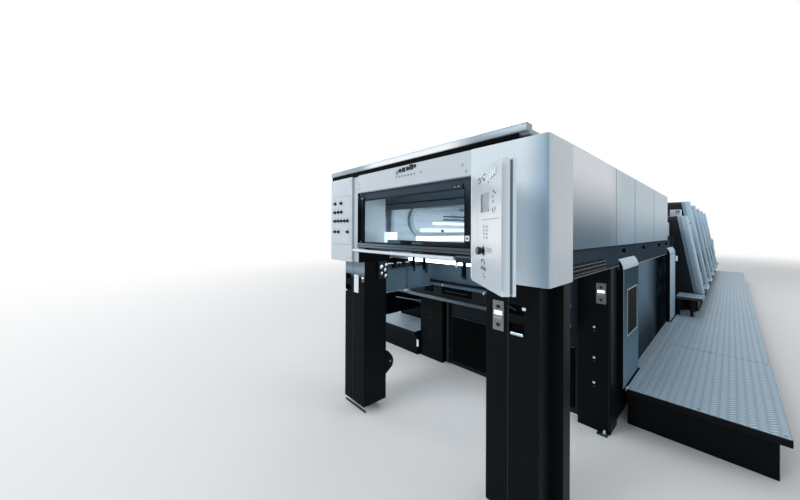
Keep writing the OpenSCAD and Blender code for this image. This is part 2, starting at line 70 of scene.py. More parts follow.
# Faces to the right, depths behind the hood front and heights that pieces share, in metres
WALL_FACE = 0.9
BAND_FACE = 0.885
CHASSIS_FACE = 0.865
INNER_WALL = 0.813
LEG_FRONT = 0.1
HOOD_END = 4.2
ROOF_TOP = 2.048
GALLERY_TOP = 0.3
LEFT_DECK_TOP = 0.55
UNIT_START = 5.4
UNIT_PITCH = 1.3
UNIT_DEPTH = 0.7
FEEDER_START = 13.2

# Angles between faces: shaded smooth, rounded off, and taken as flat
SMOOTH_BELOW = math.radians(35)
SHARP_ABOVE = math.radians(30)
FLAT_BELOW = math.radians(1)


def at(x, y, z):
    """A point that is y metres behind the hood front, in the frame of the whole press."""
    return Vector((x, HOOD_FRONT + y, z))


def sides(near, far):
    """Low and high x, left and then right, of a part that reaches from near to far off the centre plane."""
    return (-far, -near), (near, far)


# Sizes and colours that a user would change


def colour_property(name, description, default):
    return bpy.props.FloatVectorProperty(
        name=name, description=description, subtype="COLOR", size=3, min=0, max=1, default=default
    )


def length_property(name, description, default):
    return bpy.props.FloatProperty(
        name=name, description=description, unit="LENGTH", subtype="DISTANCE", min=0, default=default
    )


class PressColours(bpy.types.PropertyGroup):
    """Paints and metals of the press."""

    white: colour_property("White paint", "Front boxes, fascia and swing panel", (0.56, 0.635, 0.69))
    silver: colour_property("Silver paint", "Hood panels and unit covers", (0.26, 0.36, 0.44))
    grey: colour_property("Grey paint", "Lower panels and guard cabinets", (0.034, 0.054, 0.071))
    dark: colour_property("Dark paint", "Unit cores and the band under the hood", (0.014, 0.021, 0.028))
    black: colour_property("Black paint", "Legs, posts, bed and plinths", (0.0035, 0.0048, 0.0062))
    steel: colour_property("Bare steel", "Rails, rods and pins", (0.41, 0.52, 0.6))
    tread: colour_property("Tread plate", "Galleries, footboards and benches", (0.34, 0.465, 0.57))
    glass: colour_property("Glass", "Window over the delivery", (0.82, 0.9, 0.94))


class PressSizes(bpy.types.PropertyGroup):
    """Sizes of edges, fittings and patterns."""

    box_edge: length_property("Box edge", "Rounding of the two front boxes", 0.006)
    shell_edge: length_property("Shell edge", "Rounding of the swing panel's shells", 0.008)
    knob: length_property("Knob", "Diameter of the knobs on the left control plate", 0.024)
    tread_lane: length_property("Tread lane", "Width of a lane of parallel bars on the tread plate", 0.045)
    tread_row: length_property("Tread row", "Distance between the bars of a lane", 0.04)
    tread_height: length_property("Tread height", "Height of the bars of the tread plate", 0.002)


class PressStudio(bpy.types.PropertyGroup):
    """Camera and light."""

    lens: bpy.props.FloatProperty(
        name="Lens", description="Focal length in millimetres", min=5, max=100, default=13.651
    )
    sky: bpy.props.FloatProperty(
        name="Sky", description="Strength of the even light", min=0, max=3, default=0.42
    )
    lamp: bpy.props.FloatProperty(
        name="Lamps", description="Power of the soft lamps as a factor", min=0, max=5, default=0.42
    )


# Shader maths


class Signal:
    """A node's output that is used in sums as a number that changes over the surface."""

    def __init__(self, nodes, socket):
        self.nodes = nodes
        self.socket = socket

    def maths(self, operation, *values):
        return self.nodes.add("ShaderNodeMath", {"operation": operation}, dict(enumerate(values)))

    def __add__(self, other):
        return self.maths("ADD", self, other)

    __radd__ = __add__

    def __sub__(self, other):
        return self.maths("SUBTRACT", self, other)

    def __rsub__(self, other):
        return self.maths("SUBTRACT", other, self)

    def __mul__(self, other):
        return self.maths("MULTIPLY", self, other)

    __rmul__ = __mul__

    def __truediv__(self, other):
        return self.maths("DIVIDE", self, other)

    def __pow__(self, other):
        return self.maths("POWER", self, other)

    def __abs__(self):
        return self.maths("ABSOLUTE", self)

    def greatest(self, other):
        return self.maths("MAXIMUM", self, other)

    def wrapped(self, low, high):
        return self.maths("WRAP", self, high, low)

    def rise(self, low, high):
        """0 below low and 1 above high, with a soft step between."""
        return self.nodes.add(
            "ShaderNodeMapRange",
            {"interpolation_type": "SMOOTHSTEP"},
            {"Value": self, "From Min": low, "From Max": high},
        )

    def step_up(self, edge, softness):
        """0 below the edge and 1 above it, with a soft step between."""
        return self.rise(edge - softness, edge + softness)


class Nodes:
    """A node tree that is built node by node."""

    def __init__(self, tree):
        self.tree = tree

    def add(self, kind, settings=None, sockets=None, output=0):
        """Adds a node of a type, with its settings, and the values or links of its sockets."""
        node = self.tree.nodes.new(kind)
        for key, value in (settings or {}).items():
            setattr(node, key, value)
        for key, value in (sockets or {}).items():
            self.feed(node.inputs[key], value)
        return Signal(self, node.outputs[output])

    def feed(self, socket, value):
        if isinstance(value, Signal):
            self.tree.links.new(value.socket, socket)
        elif socket.type == "RGBA" and len(value) == 3:
            socket.default_value = (*value, 1)
        else:
            socket.default_value = value

    def seen(self):
        """1 for rays that show the surface itself, straight, mirrored or through glass, and 0 for others."""
        rays = [self.add("ShaderNodeLightPath", output=name)
                for name in ("Is Camera Ray", "Is Glossy Ray", "Is Transmission Ray")]
        return rays[0].greatest(rays[1]).greatest(rays[2])


class Finish(Nodes):
    """A material with one shader, built from nodes."""

    def __init__(self, name, **constants):
        self.name = name
        self.material = bpy.data.materials.new(name)
        self.material.use_nodes = True
        super().__init__(self.material.node_tree)
        self.shader = self.tree.nodes["Principled BSDF"]
        self.set(**constants)

    def set(self, **sockets):
        for key, value in sockets.items():
            self.feed(self.shader.inputs[key.replace("_", " ")], value)

    def place(self, scale=(1, 1, 1)):
        """Object coordinates, scaled by a Mapping node."""
        coordinates = self.add("ShaderNodeTexCoord", output="Object")
        return self.add("ShaderNodeMapping", None, {"Vector": coordinates, "Scale": scale})

    def axes(self):
        """The x, y and z of the object coordinates."""
        split = self.add("ShaderNodeSeparateXYZ", None, {0: self.place()}).socket.node
        return [Signal(self, output) for output in split.outputs]

    def noise(self, scale, detail, roughness=0.5, stretch=(1, 1, 1)):
        sockets = {"Vector": self.place(stretch), "Scale": scale, "Detail": detail, "Roughness": roughness}
        return self.add("ShaderNodeTexNoise", None, sockets)

    def blend(self, factor, first, second):
        """A colour between two others. The numbers are the Mix node's sockets for colours."""
        colours = {0: factor, 6: first, 7: second}
        return self.add("ShaderNodeMix", {"data_type": "RGBA"}, colours, output=2)

    def relief(self, height, depth):
        """A normal from a height, where 1 stands depth metres above 0."""
        return self.add("ShaderNodeBump", None, {"Strength": 1.0, "Distance": depth, "Height": height})


def tinted(colour, factor):
    return tuple(min(1.0, channel * factor) for channel in colour)


FINISHES = {}


def finish_named(name):
    return FINISHES[name].material


# Noise scales of sprayed paint, the depth of its relief in metres, and how rough its clear coat is
GRAIN = 420
FLAKES = 700
FILM = 0.00005
COAT_ROUGHNESS = 0.12


def paint(name, colour, roughness, peel, spread, coat=0.0, specular=0.5):
    """Sprayed paint: a fine orange peel, faint clouds in the colour and a little dust on top."""
    finish = Finish(name, Coat_Weight=coat, Coat_Roughness=COAT_ROUGHNESS, Specular_IOR_Level=specular)
    clouds = finish.noise(2.2, 4.0, 0.55)
    grain = finish.noise(GRAIN, 1.0)
    smears = finish.noise(9, 5.0, 0.65, (1, 1, 0.35))
    tone = finish.blend(clouds, tinted(colour, 1 - spread), tinted(colour, 1 + spread))
    rubbed = smears.step_up(0.62, 0.12) * 0.5
    finish.set(Base_Color=finish.blend(rubbed, tone, tinted(colour, 1 + spread * 1.6)))
    finish.set(Roughness=roughness + (clouds - 0.5) * 0.12 + rubbed * 0.08)
    finish.set(Normal=finish.relief(grain, peel))
    return finish


def textured_paint(name, colour, roughness, bump, specular=0.08):
    """Powder coat: a fine grain with paler specks where hands and shoes have touched it."""
    finish = Finish(name, Specular_IOR_Level=specular)
    grain = finish.noise(260, 2.0)
    scuffs = finish.noise(14, 6.0, 0.7)
    clouds = finish.noise(1.7, 3.0)
    tone = finish.blend(clouds, tinted(colour, 0.8), tinted(colour, 1.25))
    worn = scuffs.step_up(0.66, 0.1) * 0.35
    finish.set(Base_Color=finish.blend(worn, tone, tinted(colour, 2.2)))
    finish.set(Roughness=roughness + (grain - 0.5) * 0.15 - worn * 0.12)
    finish.set(Normal=finish.relief(grain, bump))
    return finish


def brushed(name, colour, roughness, stretch):
    """Bare metal with fine brush lines and faint stains."""
    finish = Finish(name, Metallic=1.0)
    lines = finish.noise(60, 3.0, 0.6, stretch)
    stains = finish.noise(6, 4.0)
    tone = finish.blend(lines, tinted(colour, 0.82), tinted(colour, 1.15))
    finish.set(Base_Color=finish.blend(stains.step_up(0.6, 0.15) * 0.35, tone, tinted(colour, 0.7)))
    finish.set(Roughness=roughness + (lines - 0.5) * 0.16)
    finish.set(Normal=finish.relief(lines, 0.0002))
    return finish


def tread_plate(name, colour, lane, row, height):
    """Chequer plate: lanes of slanting bars that turn from one lane to the next, rubbed bright on top."""
    finish = Finish(name, Metallic=0.25, Specular_IOR_Level=0.3)
    x, y, _ = finish.axes()
    inward = abs(x.wrapped(-lane, lane))
    along = (inward - lane / 2) / (lane * 0.5)
    across = (y + inward * 0.8).wrapped(-row / 2, row / 2) / (row * 0.24)
    bar = (1 - (along * along + across * across)).step_up(0.3, 0.3)
    dirt = finish.noise(7, 5.0, 0.6)
    lanes = finish.noise(1.3, 3.0, 0.5, (0.8, 0.5, 1))
    grain = finish.noise(180, 2.0)
    ground = finish.blend(dirt, tinted(colour, 0.7), tinted(colour, 0.95))
    rubbed = finish.blend(lanes, tinted(colour, 1.2), tinted(colour, 1.5))
    finish.set(Base_Color=finish.blend(bar, ground, rubbed))
    finish.set(Roughness=0.5 + (dirt - 0.5) * 0.2 - bar * 0.14)
    finish.set(Normal=finish.relief(bar + grain * 0.06, height))
    return finish


def brush_lines(finish):
    """Faint upright lines."""
    return finish.noise(90, 2.0, 0.6, (1, 1, 0.02))


def graded(name, first, last, low, high, axis=2, specular=0.2):
    """Sprayed metallic paint with faint brush lines, which goes from one colour to another along an axis. Where
    the two colours are lit and shaded copies of one paint, the change is painted light and shade.
    """
    finish = Finish(name, Specular_IOR_Level=specular)
    place = finish.axes()[axis]
    rise = place.rise(low, high)
    flakes = finish.noise(FLAKES, 1.0)
    clouds = finish.noise(1.3, 3.0, 0.5, (1, 1, 0.5))
    lines = brush_lines(finish)
    tone = finish.blend(rise, first, last)
    darker = finish.blend(rise, tinted(first, 0.82), tinted(last, 0.82))
    finish.set(Base_Color=finish.blend((lines * clouds) * 0.8, tone, darker))
    finish.set(Roughness=0.36 + (clouds - 0.5) * 0.12 + (lines - 0.5) * 0.06)
    finish.set(Normal=finish.relief(flakes, FILM))
    return finish


def hood_sheet_painted_light(name, near_low, near_high, far_low, far_high):
    """Sprayed hood sheets with painted reflection and shade: dark low down and white under the roof at the near
    end, evener farther on.
    """
    finish = Finish(name, Metallic=0.1, Specular_IOR_Level=0.05)
    _, y, z = finish.axes()
    away = y.step_up(HOOD_FRONT + 1.4, 0.3)
    lines = brush_lines(finish)
    flakes = finish.noise(FLAKES, 1.0)
    near = finish.blend(z.step_up(1.72, 0.24), near_low, near_high)
    far = finish.blend(z.step_up(1.62, 0.24), far_low, far_high)
    tone = finish.blend(away, near, far)
    finish.set(Base_Color=finish.blend(lines * 0.08, tone, far_low))
    finish.set(Roughness=0.36 + (lines - 0.5) * 0.06)
    finish.set(Normal=finish.relief(flakes, FILM))
    return finish


def painted_reflection_band(name, colour, pale, low, high, soft, axis=2, metal=0.0):
    """Gloss finish with a painted reflection: a paler band between two places along an axis."""
    finish = Finish(name, Metallic=metal, Coat_Weight=0.3, Coat_Roughness=COAT_ROUGHNESS,
                    Specular_IOR_Level=0.4)
    place = finish.axes()[axis]
    band = place.step_up(low, soft) * (1 - place.step_up(high, soft))
    grain = finish.noise(GRAIN, 1.0)
    clouds = finish.noise(2.4, 4.0, 0.55)
    tone = finish.blend(band, colour, pale)
    finish.set(Base_Color=finish.blend(clouds * 0.15, tone, pale))
    finish.set(Roughness=0.2 + (clouds - 0.5) * 0.1)
    finish.set(Normal=finish.relief(grain, FILM))
    return finish


def gloss_dark_painted_reflection(name, near, far, low, high):
    """Dark gloss panels with a painted reflection: paler near the hood front and high up, deeper towards the
    feeder and towards the floor, with faint wipe marks.
    """
    finish = Finish(name, Specular_IOR_Level=0.0)
    _, y, z = finish.axes()
    away = y.step_up(HOOD_FRONT + 3.1, 0.45)
    down = 1 - z.rise(low, high)
    wiped = finish.noise(3, 5.0, 0.65, (1, 0.5, 1.5))
    grain = finish.noise(GRAIN, 1.0)
    tone = finish.blend(away.greatest(down * 0.85), near, far)
    finish.set(Base_Color=finish.blend(wiped.step_up(0.6, 0.15) * 0.08, tone, near))
    finish.set(Roughness=0.14 + wiped * 0.12)
    finish.set(Normal=finish.relief(grain, 0.00006))
    return finish


def inner_sheet(name, colour, low, high, deep):
    """Pale inner sheets with long streaks of powder, and painted shade that darkens them under the roof."""
    finish = Finish(name, Specular_IOR_Level=0.3)
    height = finish.axes()[2]
    rise = height.rise(low, high)
    streaks = finish.noise(4, 5.0, 0.65, (1, 0.3, 5))
    clouds = finish.noise(2.2, 3.0)
    tone = finish.blend(rise, colour, tinted(colour, deep))
    streaky = finish.blend(streaks.step_up(0.5, 0.12) * 0.45, tone, tinted(colour, 0.55))
    finish.set(Base_Color=finish.blend(clouds * 0.3, streaky, tinted(colour, 1.15)))
    finish.set(Roughness=0.35 + streaks * 0.2)
    finish.set(Normal=finish.relief(streaks, 0.0004))
    return finish


def glass(name, colour):
    """Clear pane with a faint film of dust."""
    finish = Finish(name, Transmission_Weight=1.0, IOR=1.14)
    film = finish.noise(5, 5.0, 0.6)
    finish.set(Base_Color=finish.blend(film, colour, tinted(colour, 0.94)))
    finish.set(Roughness=0.01 + film * 0.03)
    return finish


def lamp(name, colour, strength):
    """Glowing tube with slightly darker ends."""
    finish = Finish(name, Roughness=0.4, Emission_Strength=strength)
    flow = finish.noise(3, 2.0)
    finish.set(Base_Color=colour)
    finish.set(Emission_Color=finish.blend(flow, colour, tinted(colour, 0.92)))
    return finish


def make_finishes(colours, sizes):
    """Makes every finish of the press."""
    white, silver, grey = tuple(colours.white), tuple(colours.silver), tuple(colours.grey)
    dark, black, steel = tuple(colours.dark), tuple(colours.black), tuple(colours.steel)
    panels = [
        paint("white_paint", white, 0.24, 0.00006, 0.015, coat=0.15),
        paint("panel_white", tinted(white, 1.04), 0.2, 0.00004, 0.015, coat=0.15),
        paint("key_white", tinted(white, 0.86), 0.3, 0.00003, 0.02),
        paint("label_white", tinted(white, 1.4), 0.3, 0.00003, 0.02),
        # A brighter copy of the white for the swing panel's sides: painted light
        paint("panel_side", tinted(white, 1.42), 0.25, 0.00006, 0.015, coat=0.1),
        # A paler band across the middle of the swing panel's face: a painted reflection
        painted_reflection_band("swing_face", (0.62, 0.7, 0.765), (0.96, 0.985, 1.0), 1.45, 1.66, 0.07),
        # Darker low down and paler higher up on the left front box: painted shade
        graded("post_paint", tinted(white, 0.8), tinted(white, 1.1), 1.28, 1.6),
        # Darker and bluer towards the outer edge of the right front box: painted shade
        graded("box_fade", (0.76, 0.85, 0.91), (0.32, 0.46, 0.58), 0.82, 0.96, axis=0),
        # Silver darker low down and paler towards the roof: a painted reflection and shade
        graded("silver_paint", tinted(silver, 0.7), tinted(silver, 1.2), 1.45, 2.02),
        # Hood side sheets: dark low down and white under the roof, a painted reflection and shade
        hood_sheet_painted_light("hood_silver", (0.07, 0.14, 0.2), (0.93, 0.94, 0.97),
                   (0.13, 0.25, 0.36), (0.59, 0.7, 0.76)),
        # Brighter copies of the silver for the unit covers, paler higher up: painted light
        graded("wing_silver", tinted(silver, 1.4), tinted(silver, 2.0), 0.5, 2.1),
        graded("wing_inner", tinted(silver, 0.85), tinted(silver, 1.25), 0.6, 2.1),
        # Darker copy of the silver, paler higher up on the hood's tail strip: painted light and shade
        graded("tail_grey", tinted(silver, 0.72), tinted(silver, 0.9), 1.45, 2.0),
        # Paler towards the top of the cabinets' rounded caps: a painted highlight
        graded("cap_silver", tinted(silver, 1.35), tinted(silver, 2.15), 1.25, 1.36, specular=0.4),
        # Cabinet sides paler low down and darker towards the top, and a paler copy for the second cabinet: painted
        # light and shade
        graded("cabinet_side", (0.155, 0.245, 0.32), (0.052, 0.09, 0.115), 0.3, 1.25, specular=0.0),
        graded("cabinet_pale", tinted(silver, 1.15), tinted(silver, 1.6), 0.3, 1.25),
        # Paler high up on the left leg's front under the hood: a painted reflection
        graded("leg_fade", (0.004, 0.006, 0.008), (0.3, 0.41, 0.5), 1.14, 1.23, specular=0.03),
        # Sill paler at its left end and darker towards the right: a painted reflection
        graded("sill_grey", tinted(silver, 0.68), tinted(silver, 0.26), -0.5, 0.25, axis=0, specular=0.15),
        # Window frame paler along its top: a painted reflection
        graded("frame_black", (0.008, 0.012, 0.016), (0.045, 0.068, 0.095), 1.7, 1.84, specular=0.06),
    ]
    dark_ones = [
        paint("grey_paint", grey, 0.2, 0.00008, 0.2, coat=0.05, specular=0.15),
        # Paler near the hood front and high up on the lower panels: a painted reflection
        gloss_dark_painted_reflection("lower_panel", (0.15, 0.23, 0.3), (0.004, 0.006, 0.008), 0.4, 1.0),
        paint("unit_door", tinted(grey, 0.9), 0.35, 0.0001, 0.2, specular=0.15),
        # Three times the grey for the boards round the pile, which stand in shade: painted light
        paint("board_grey", tinted(grey, 3.0), 0.45, 0.0001, 0.2, specular=0.15),
        paint("leg_grey", tinted(dark, 1.4), 0.4, 0.0001, 0.2, specular=0.08),
        paint("mark_grey", tinted(grey, 2.4), 0.3, 0.00003, 0.05, specular=0.2),
        # Blue-grey fill of the groove round the swing panel's shell: painted shade
        paint("groove_blue", tinted(grey, 3.4), 0.4, 0.0001, 0.1, specular=0.15),
        paint("plate_grey", tinted(white, 0.3), 0.35, 0.00005, 0.05),
        textured_paint("dark_paint", dark, 0.45, 0.0002, 0.1),
        textured_paint("band_paint", tinted(dark, 3.0), 0.42, 0.0001, 0.0),
        textured_paint("black_paint", black, 0.45, 0.0002, 0.06),
        textured_paint("deck_side", tinted(black, 1.2), 0.5, 0.0002, 0.08),
        textured_paint("knob_plastic", (0.008, 0.01, 0.012), 0.35, 0.0001, 0.3),
        textured_paint("slot_black", (0.002, 0.0025, 0.003), 0.6, 0.0001, 0.03),
        textured_paint("rubber", (0.01, 0.012, 0.014), 0.75, 0.0003),
    ]
    metals = [
        brushed("brushed_metal", steel, 0.32, (0.3, 8, 8)),
        brushed("bright_steel", tinted(steel, 1.5), 0.2, (8, 0.4, 8)),
        brushed("worn_steel", tinted(steel, 0.35), 0.4, (3, 6, 6)),
        brushed("edge_grey", tinted(steel, 0.62), 0.38, (4, 4, 0.5)),
        brushed("edge_bright", tinted(steel, 1.45), 0.35, (4, 0.5, 4)),
        brushed("edge_dark", tinted(steel, 0.14), 0.45, (5, 2, 5)),
        brushed("wet_steel", steel, 0.22, (2, 0.15, 3)),
        # A paler band along the middle of the roof lip: a painted highlight
        painted_reflection_band("lip_silver", tinted(silver, 0.75), (0.95, 0.97, 0.99), -0.42, 0.47, 0.12, axis=0, metal=0.1),
        tread_plate("tread_plate", tuple(colours.tread), sizes.tread_lane, sizes.tread_row,
                    sizes.tread_height),
    ]
    others = [
        glass("window_glass", tuple(colours.glass)),
        paint("grey_plastic", tinted(white, 0.5), 0.4, 0.0001, 0.04),
        # Inner sheets darker under the roof: painted shade
        inner_sheet("inner_wall", (0.72, 0.82, 0.9), 1.66, 1.86, 0.3),
        inner_sheet("inner_plate", (0.5, 0.6, 0.68), 1.45, 1.8, 0.75),
        inner_sheet("inner_arch", (0.1, 0.155, 0.2), 1.6, 1.9, 0.8),
        paint("rail_white", tinted(white, 1.25), 0.25, 0.00004, 0.05, coat=0.3),
        paint("strip_pale", tinted(white, 1.4), 0.4, 0.0001, 0.08),
        paint("screen_glass", (0.2, 0.25, 0.29), 0.08, 0.00002, 0.05, coat=0.5),
        paint("screen_pale", tinted(white, 0.8), 0.1, 0.00002, 0.05, coat=0.3),
        paint("paper", (0.72, 0.74, 0.75), 0.85, 0.0002, 0.05, specular=0.2),
        lamp("lamp_white", (0.93, 0.97, 1.0), 1.3),
        lamp("lamp_strong", (0.9, 0.96, 1.0), 8.5),
        # Faint glow for the strips on the delivery's left wall and the card inside, which are no lamps: painted
        # light
        lamp("strip_white", (0.86, 0.93, 0.97), 0.95),
    ]
    for finish in (*panels, *dark_ones, *metals, *others):
        FINISHES[finish.name] = finish


# Shapes


def bevelled(solid, edges, offset, segments=2):
    """Rounds some edges of a bmesh."""
    bmesh.ops.bevel(solid, geom=edges, offset=offset, segments=segments, profile=0.5,
                    affect="EDGES", material=-1, clamp_overlap=True)


def aimed(place, direction):
    """A matrix that moves the origin to a place and turns the Z axis along a direction."""
    turn = Vector(direction).to_track_quat("Z", "Y").to_matrix().to_4x4()
    return Matrix.Translation(Vector(place)) @ turn


def made(result, kind):
    """What a bmesh operation has made of one kind."""
    return [item for item in result["geom"] if isinstance(item, kind)]


class Piece:
    """A mesh that is put together from shaped solids, each with its own finish."""

    def __init__(self, name):
        self.name = name
        self.mesh = bmesh.new()
        self.finishes = []

    def index(self, finish):
        """The place of a finish in the piece's row of finishes, which takes it up when it is new."""
        if finish not in self.finishes:
            self.finishes.append(finish)
        return self.finishes.index(finish)

    def keep(self, solid, finish):
        """Adds the faces of a solid with its finish and frees it."""
        bmesh.ops.recalc_face_normals(solid, faces=solid.faces)
        for face in solid.faces:
            face.material_index = self.index(finish)
        carrier = bpy.data.meshes.new("carrier")
        solid.to_mesh(carrier)
        solid.free()
        self.mesh.from_mesh(carrier)
        bpy.data.meshes.remove(carrier)

    def block(self, low, high, finish, edge=0.0, segments=2, turn=None):
        """A block between two corners with rounded edges, turned about its middle if asked."""
        low, high = Vector(low), Vector(high)
        solid = bmesh.new()
        bmesh.ops.create_cube(solid, size=1, matrix=Matrix.Diagonal((*(high - low), 1)))
        if edge:
            bevelled(solid, solid.edges[:], edge, segments)
        if turn is not None:
            bmesh.ops.transform(solid, matrix=turn.to_4x4(), verts=solid.verts)
        bmesh.ops.translate(solid, vec=(low + high) / 2, verts=solid.verts)
        self.keep(solid, finish)

    def rod(self, start, end, radius, finish, facets, edge=0.0):
        """A round bar between two points, with rounded rims if asked."""
        axis = end - start
        solid = bmesh.new()
        bmesh.ops.create_cone(solid, cap_ends=True, segments=facets, radius1=radius, radius2=radius,
                              depth=axis.length)
        if edge:
            rims = [e for e in solid.edges if abs(e.verts[0].co.z - e.verts[1].co.z) < 1e-6]
            bevelled(solid, rims, edge)
        bmesh.ops.transform(solid, matrix=aimed((start + end) / 2, axis), verts=solid.verts)
        self.keep(solid, finish)

    def cross_rod(self, x0, x1, y, z, radius, finish, facets, edge=0.0):
        """A round bar that lies across the press."""
        self.rod(at(x0, y, z), at(x1, y, z), radius, finish, facets, edge)

    def turned(self, profile, start, axis, finish, steps):
        """A solid of revolution. The profile is a row of (distance along the axis, radius)."""
        solid = bmesh.new()
        points = [solid.verts.new((radius, 0, along)) for along, radius in profile]
        edges = [solid.edges.new(pair) for pair in zip(points, points[1:])]
        bmesh.ops.spin(solid, geom=points + edges, cent=(0, 0, 0), axis=(0, 0, 1),
                       angle=2 * math.pi, steps=steps, use_merge=True)
        bmesh.ops.remove_doubles(solid, verts=solid.verts, dist=1e-6)
        bmesh.ops.transform(solid, matrix=aimed(start, axis), verts=solid.verts)
        self.keep(solid, finish)

    def extruded(self, outline, direction, finish, edge=0.0):
        """A flat outline pushed along a direction."""
        solid = bmesh.new()
        face = solid.faces.new([solid.verts.new(Vector(point)) for point in outline])
        moved = made(bmesh.ops.extrude_face_region(solid, geom=[face]), bmesh.types.BMVert)
        bmesh.ops.translate(solid, vec=Vector(direction), verts=moved)
        if edge:
            bmesh.ops.recalc_face_normals(solid, faces=solid.faces)
            bevelled(solid, solid.edges[:], edge)
        self.keep(solid, finish)

    def on_front(self, x0, x1, z0, z1, y, proud, finish, edge=0.0):
        """A plate that stands proud of a face that looks to the front."""
        self.block(at(x0, y - proud, z0), at(x1, y + 0.001, z1), finish, edge)

    def on_side(self, y0, y1, z0, z1, x, proud, finish, edge=0.0):
        """A plate that stands proud of a face that looks to the right."""
        self.block(at(x - 0.001, y0, z0), at(x + proud, y1, z1), finish, edge)

    def screw(self, point, axis, radius, finish):
        """A domed screw head."""
        dome = ((-0.001, 0), (-0.001, radius), (radius * 0.25, radius), (radius * 0.5, radius * 0.7),
                (radius * 0.6, 0))
        self.turned(dome, point, axis, finish, 12)

    def flip(self, verts, faces):
        """Mirrors vertices and faces across the centre plane."""
        bmesh.ops.scale(self.mesh, vec=(-1, 1, 1), verts=verts)
        bmesh.ops.reverse_faces(self.mesh, faces=faces)

    def twin(self):
        """Adds the mirror image across the centre plane."""
        geometry = self.mesh.verts[:] + self.mesh.edges[:] + self.mesh.faces[:]
        copy = bmesh.ops.duplicate(self.mesh, geom=geometry)
        self.flip(made(copy, bmesh.types.BMVert), made(copy, bmesh.types.BMFace))

    def shift_all(self, matrix):
        bmesh.ops.transform(self.mesh, matrix=matrix, verts=self.mesh.verts)

    def done(self, body=BODY, stands_for=()):
        """Makes the object, gives it its finishes and lets it ride on its body."""
        data = bpy.data.meshes.new(self.name)
        self.mesh.to_mesh(data)
        self.mesh.free()
        piece = bpy.data.objects.new(self.name, data)
        bpy.context.scene.collection.objects.link(piece)
        for finish in self.finishes:
            data.materials.append(finish_named(finish))
        shade(data)
        weighted = piece.modifiers.new("face_normals", "WEIGHTED_NORMAL")
        weighted.keep_sharp = True
        named = [finish for finish in self.finishes if finish in SLOTS.values()]
        named[0] if named else "brushed_metal"
        if stands_for:
            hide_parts(*stands_for)
        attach(piece, body)


def shade(data):
    """Smooth faces, with every edge above the smoothing angle left sharp."""
    shaped = bmesh.new()
    shaped.from_mesh(data)
    for face in shaped.faces:
        face.smooth = True
    for edge in shaped.edges:
        edge.smooth = not (edge.is_manifold and edge.calc_face_angle(0) > SMOOTH_BELOW)
    shaped.to_mesh(data)
    shaped.free()


def rounded_copy(node, finish, edge, choose=None, body=BODY, segments=2):
    """A copy of a CAD node with its sharp edges rounded, which stands for the node.

    Its faces get the finish, or the one that choose picks by their middle and normal.
    """
    piece = Piece(node + "_shell")
    solid = piece.mesh
    solid.from_mesh(frame["nodes"][node].data)
    bmesh.ops.remove_doubles(solid, verts=solid.verts, dist=1e-5)
    bmesh.ops.dissolve_limit(solid, angle_limit=FLAT_BELOW, verts=solid.verts, edges=solid.edges)
    sharp = [e for e in solid.edges if e.is_manifold and e.calc_face_angle(0) > SHARP_ABOVE]
    bevelled(solid, sharp, edge, segments)
    piece.index(finish)
    for face in solid.faces:
        named = choose(face.calc_center_median(), face.normal) if choose else finish
        face.material_index = piece.index(named)
    piece.done(body, [node])


def tread_finish(middle, normal):
    """Tread plate on top of the galleries and benches, and dark sides."""
    return "tread_plate" if normal.z > 0.9 else "deck_side"


def cabinet_finish(middle, normal):
    """Silver caps with a painted highlight towards their top, black fronts and grey sides of the guard cabinets,
    paler on the second cabinet as painted light.
    """
    cap_foot, second_cabinet = 1.251, HOOD_FRONT + 3.5
    if middle.z > cap_foot:
        return "cap_silver"
    if normal.y < -0.7:
        return "black_paint"
    return "cabinet_pale" if middle.y > second_cabinet else "cabinet_side"


def left_leg_finish(middle, normal):
    """Front of the left leg, paler at the top under the hood as a painted reflection, round its black recesses."""
    return "leg_fade" if normal.y < -0.7 and middle.y < HOOD_FRONT + LEG_FRONT + 0.005 else "black_paint"


def swing_finish(middle, normal):
    """Gloss face of the swing panel with its painted reflection, and its sides in a brighter copy of the white,
    painted light.
    """
    return "swing_face" if normal.x < -0.6 and normal.y < -0.7 else "panel_side"


def left_box_finish(middle, normal):
    """Left front box with painted shade: black underneath, and darker low down."""
    return "slot_black" if normal.z < -0.7 else "post_paint"


def right_box_finish(middle, normal):
    """Right front box with painted shade: black underneath, and darker and bluer towards its outer edge."""
    if normal.z < -0.7:
        return "slot_black"
    return "box_fade" if normal.y < -0.7 else "white_paint"


def button_plate(piece, x0, x1, z0, z1, y):
    """A pale plate with a lit band in the middle and a button above and below it."""
    width, height, middle = x1 - x0, z1 - z0, (x0 + x1) / 2
    piece.on_front(x0, x1, z0, z1, y, 0.004, "plate_grey", 0.0015)
    face = y - 0.004
    for low, high, finish in ((0.53, 0.66, "lamp_white"), (0.37, 0.49, "edge_grey")):
        piece.on_front(x0 + width * 0.14, x1 - width * 0.14, z0 + height * low, z0 + height * high, face,
                       0.003, finish, 0.001)
    button = ((0, 0), (0, width * 0.16), (0.005, width * 0.16), (0.007, width * 0.12), (0.007, 0))
    for share in (0.2, 0.8):
        piece.turned(button, at(middle, face, z0 + height * share), -Y, "knob_plastic", 16)
        piece.on_front(middle - width * 0.2, middle + width * 0.2, z0 + height * (share + 0.07),
                       z0 + height * (share + 0.085), face, 0.001, "grey_plastic")
    for x in (x0 + width * 0.12, x1 - width * 0.12):
        for z in (z0 + height * 0.05, z1 - height * 0.05):
            piece.screw(at(x, face, z), -Y, width * 0.05, "edge_grey")


def rims(low, high, z0, z1, width):
    """Strips above, below, before and behind an opening, each as two places and two heights."""
    return ((low - width, high + width, z1, z1 + width), (low - width, high + width, z0 - width, z0),
            (low - width, low, z0, z1), (high, high + width, z0, z1))


def panel_place():
    """The swing panel's place as stored: turned open about its pin."""
    pin = frame["joints"][0]["pos_m"]
    return Matrix.Translation((pin[0], pin[1], 0)) @ Matrix.Rotation(PANEL_TURN, 4, "Z")


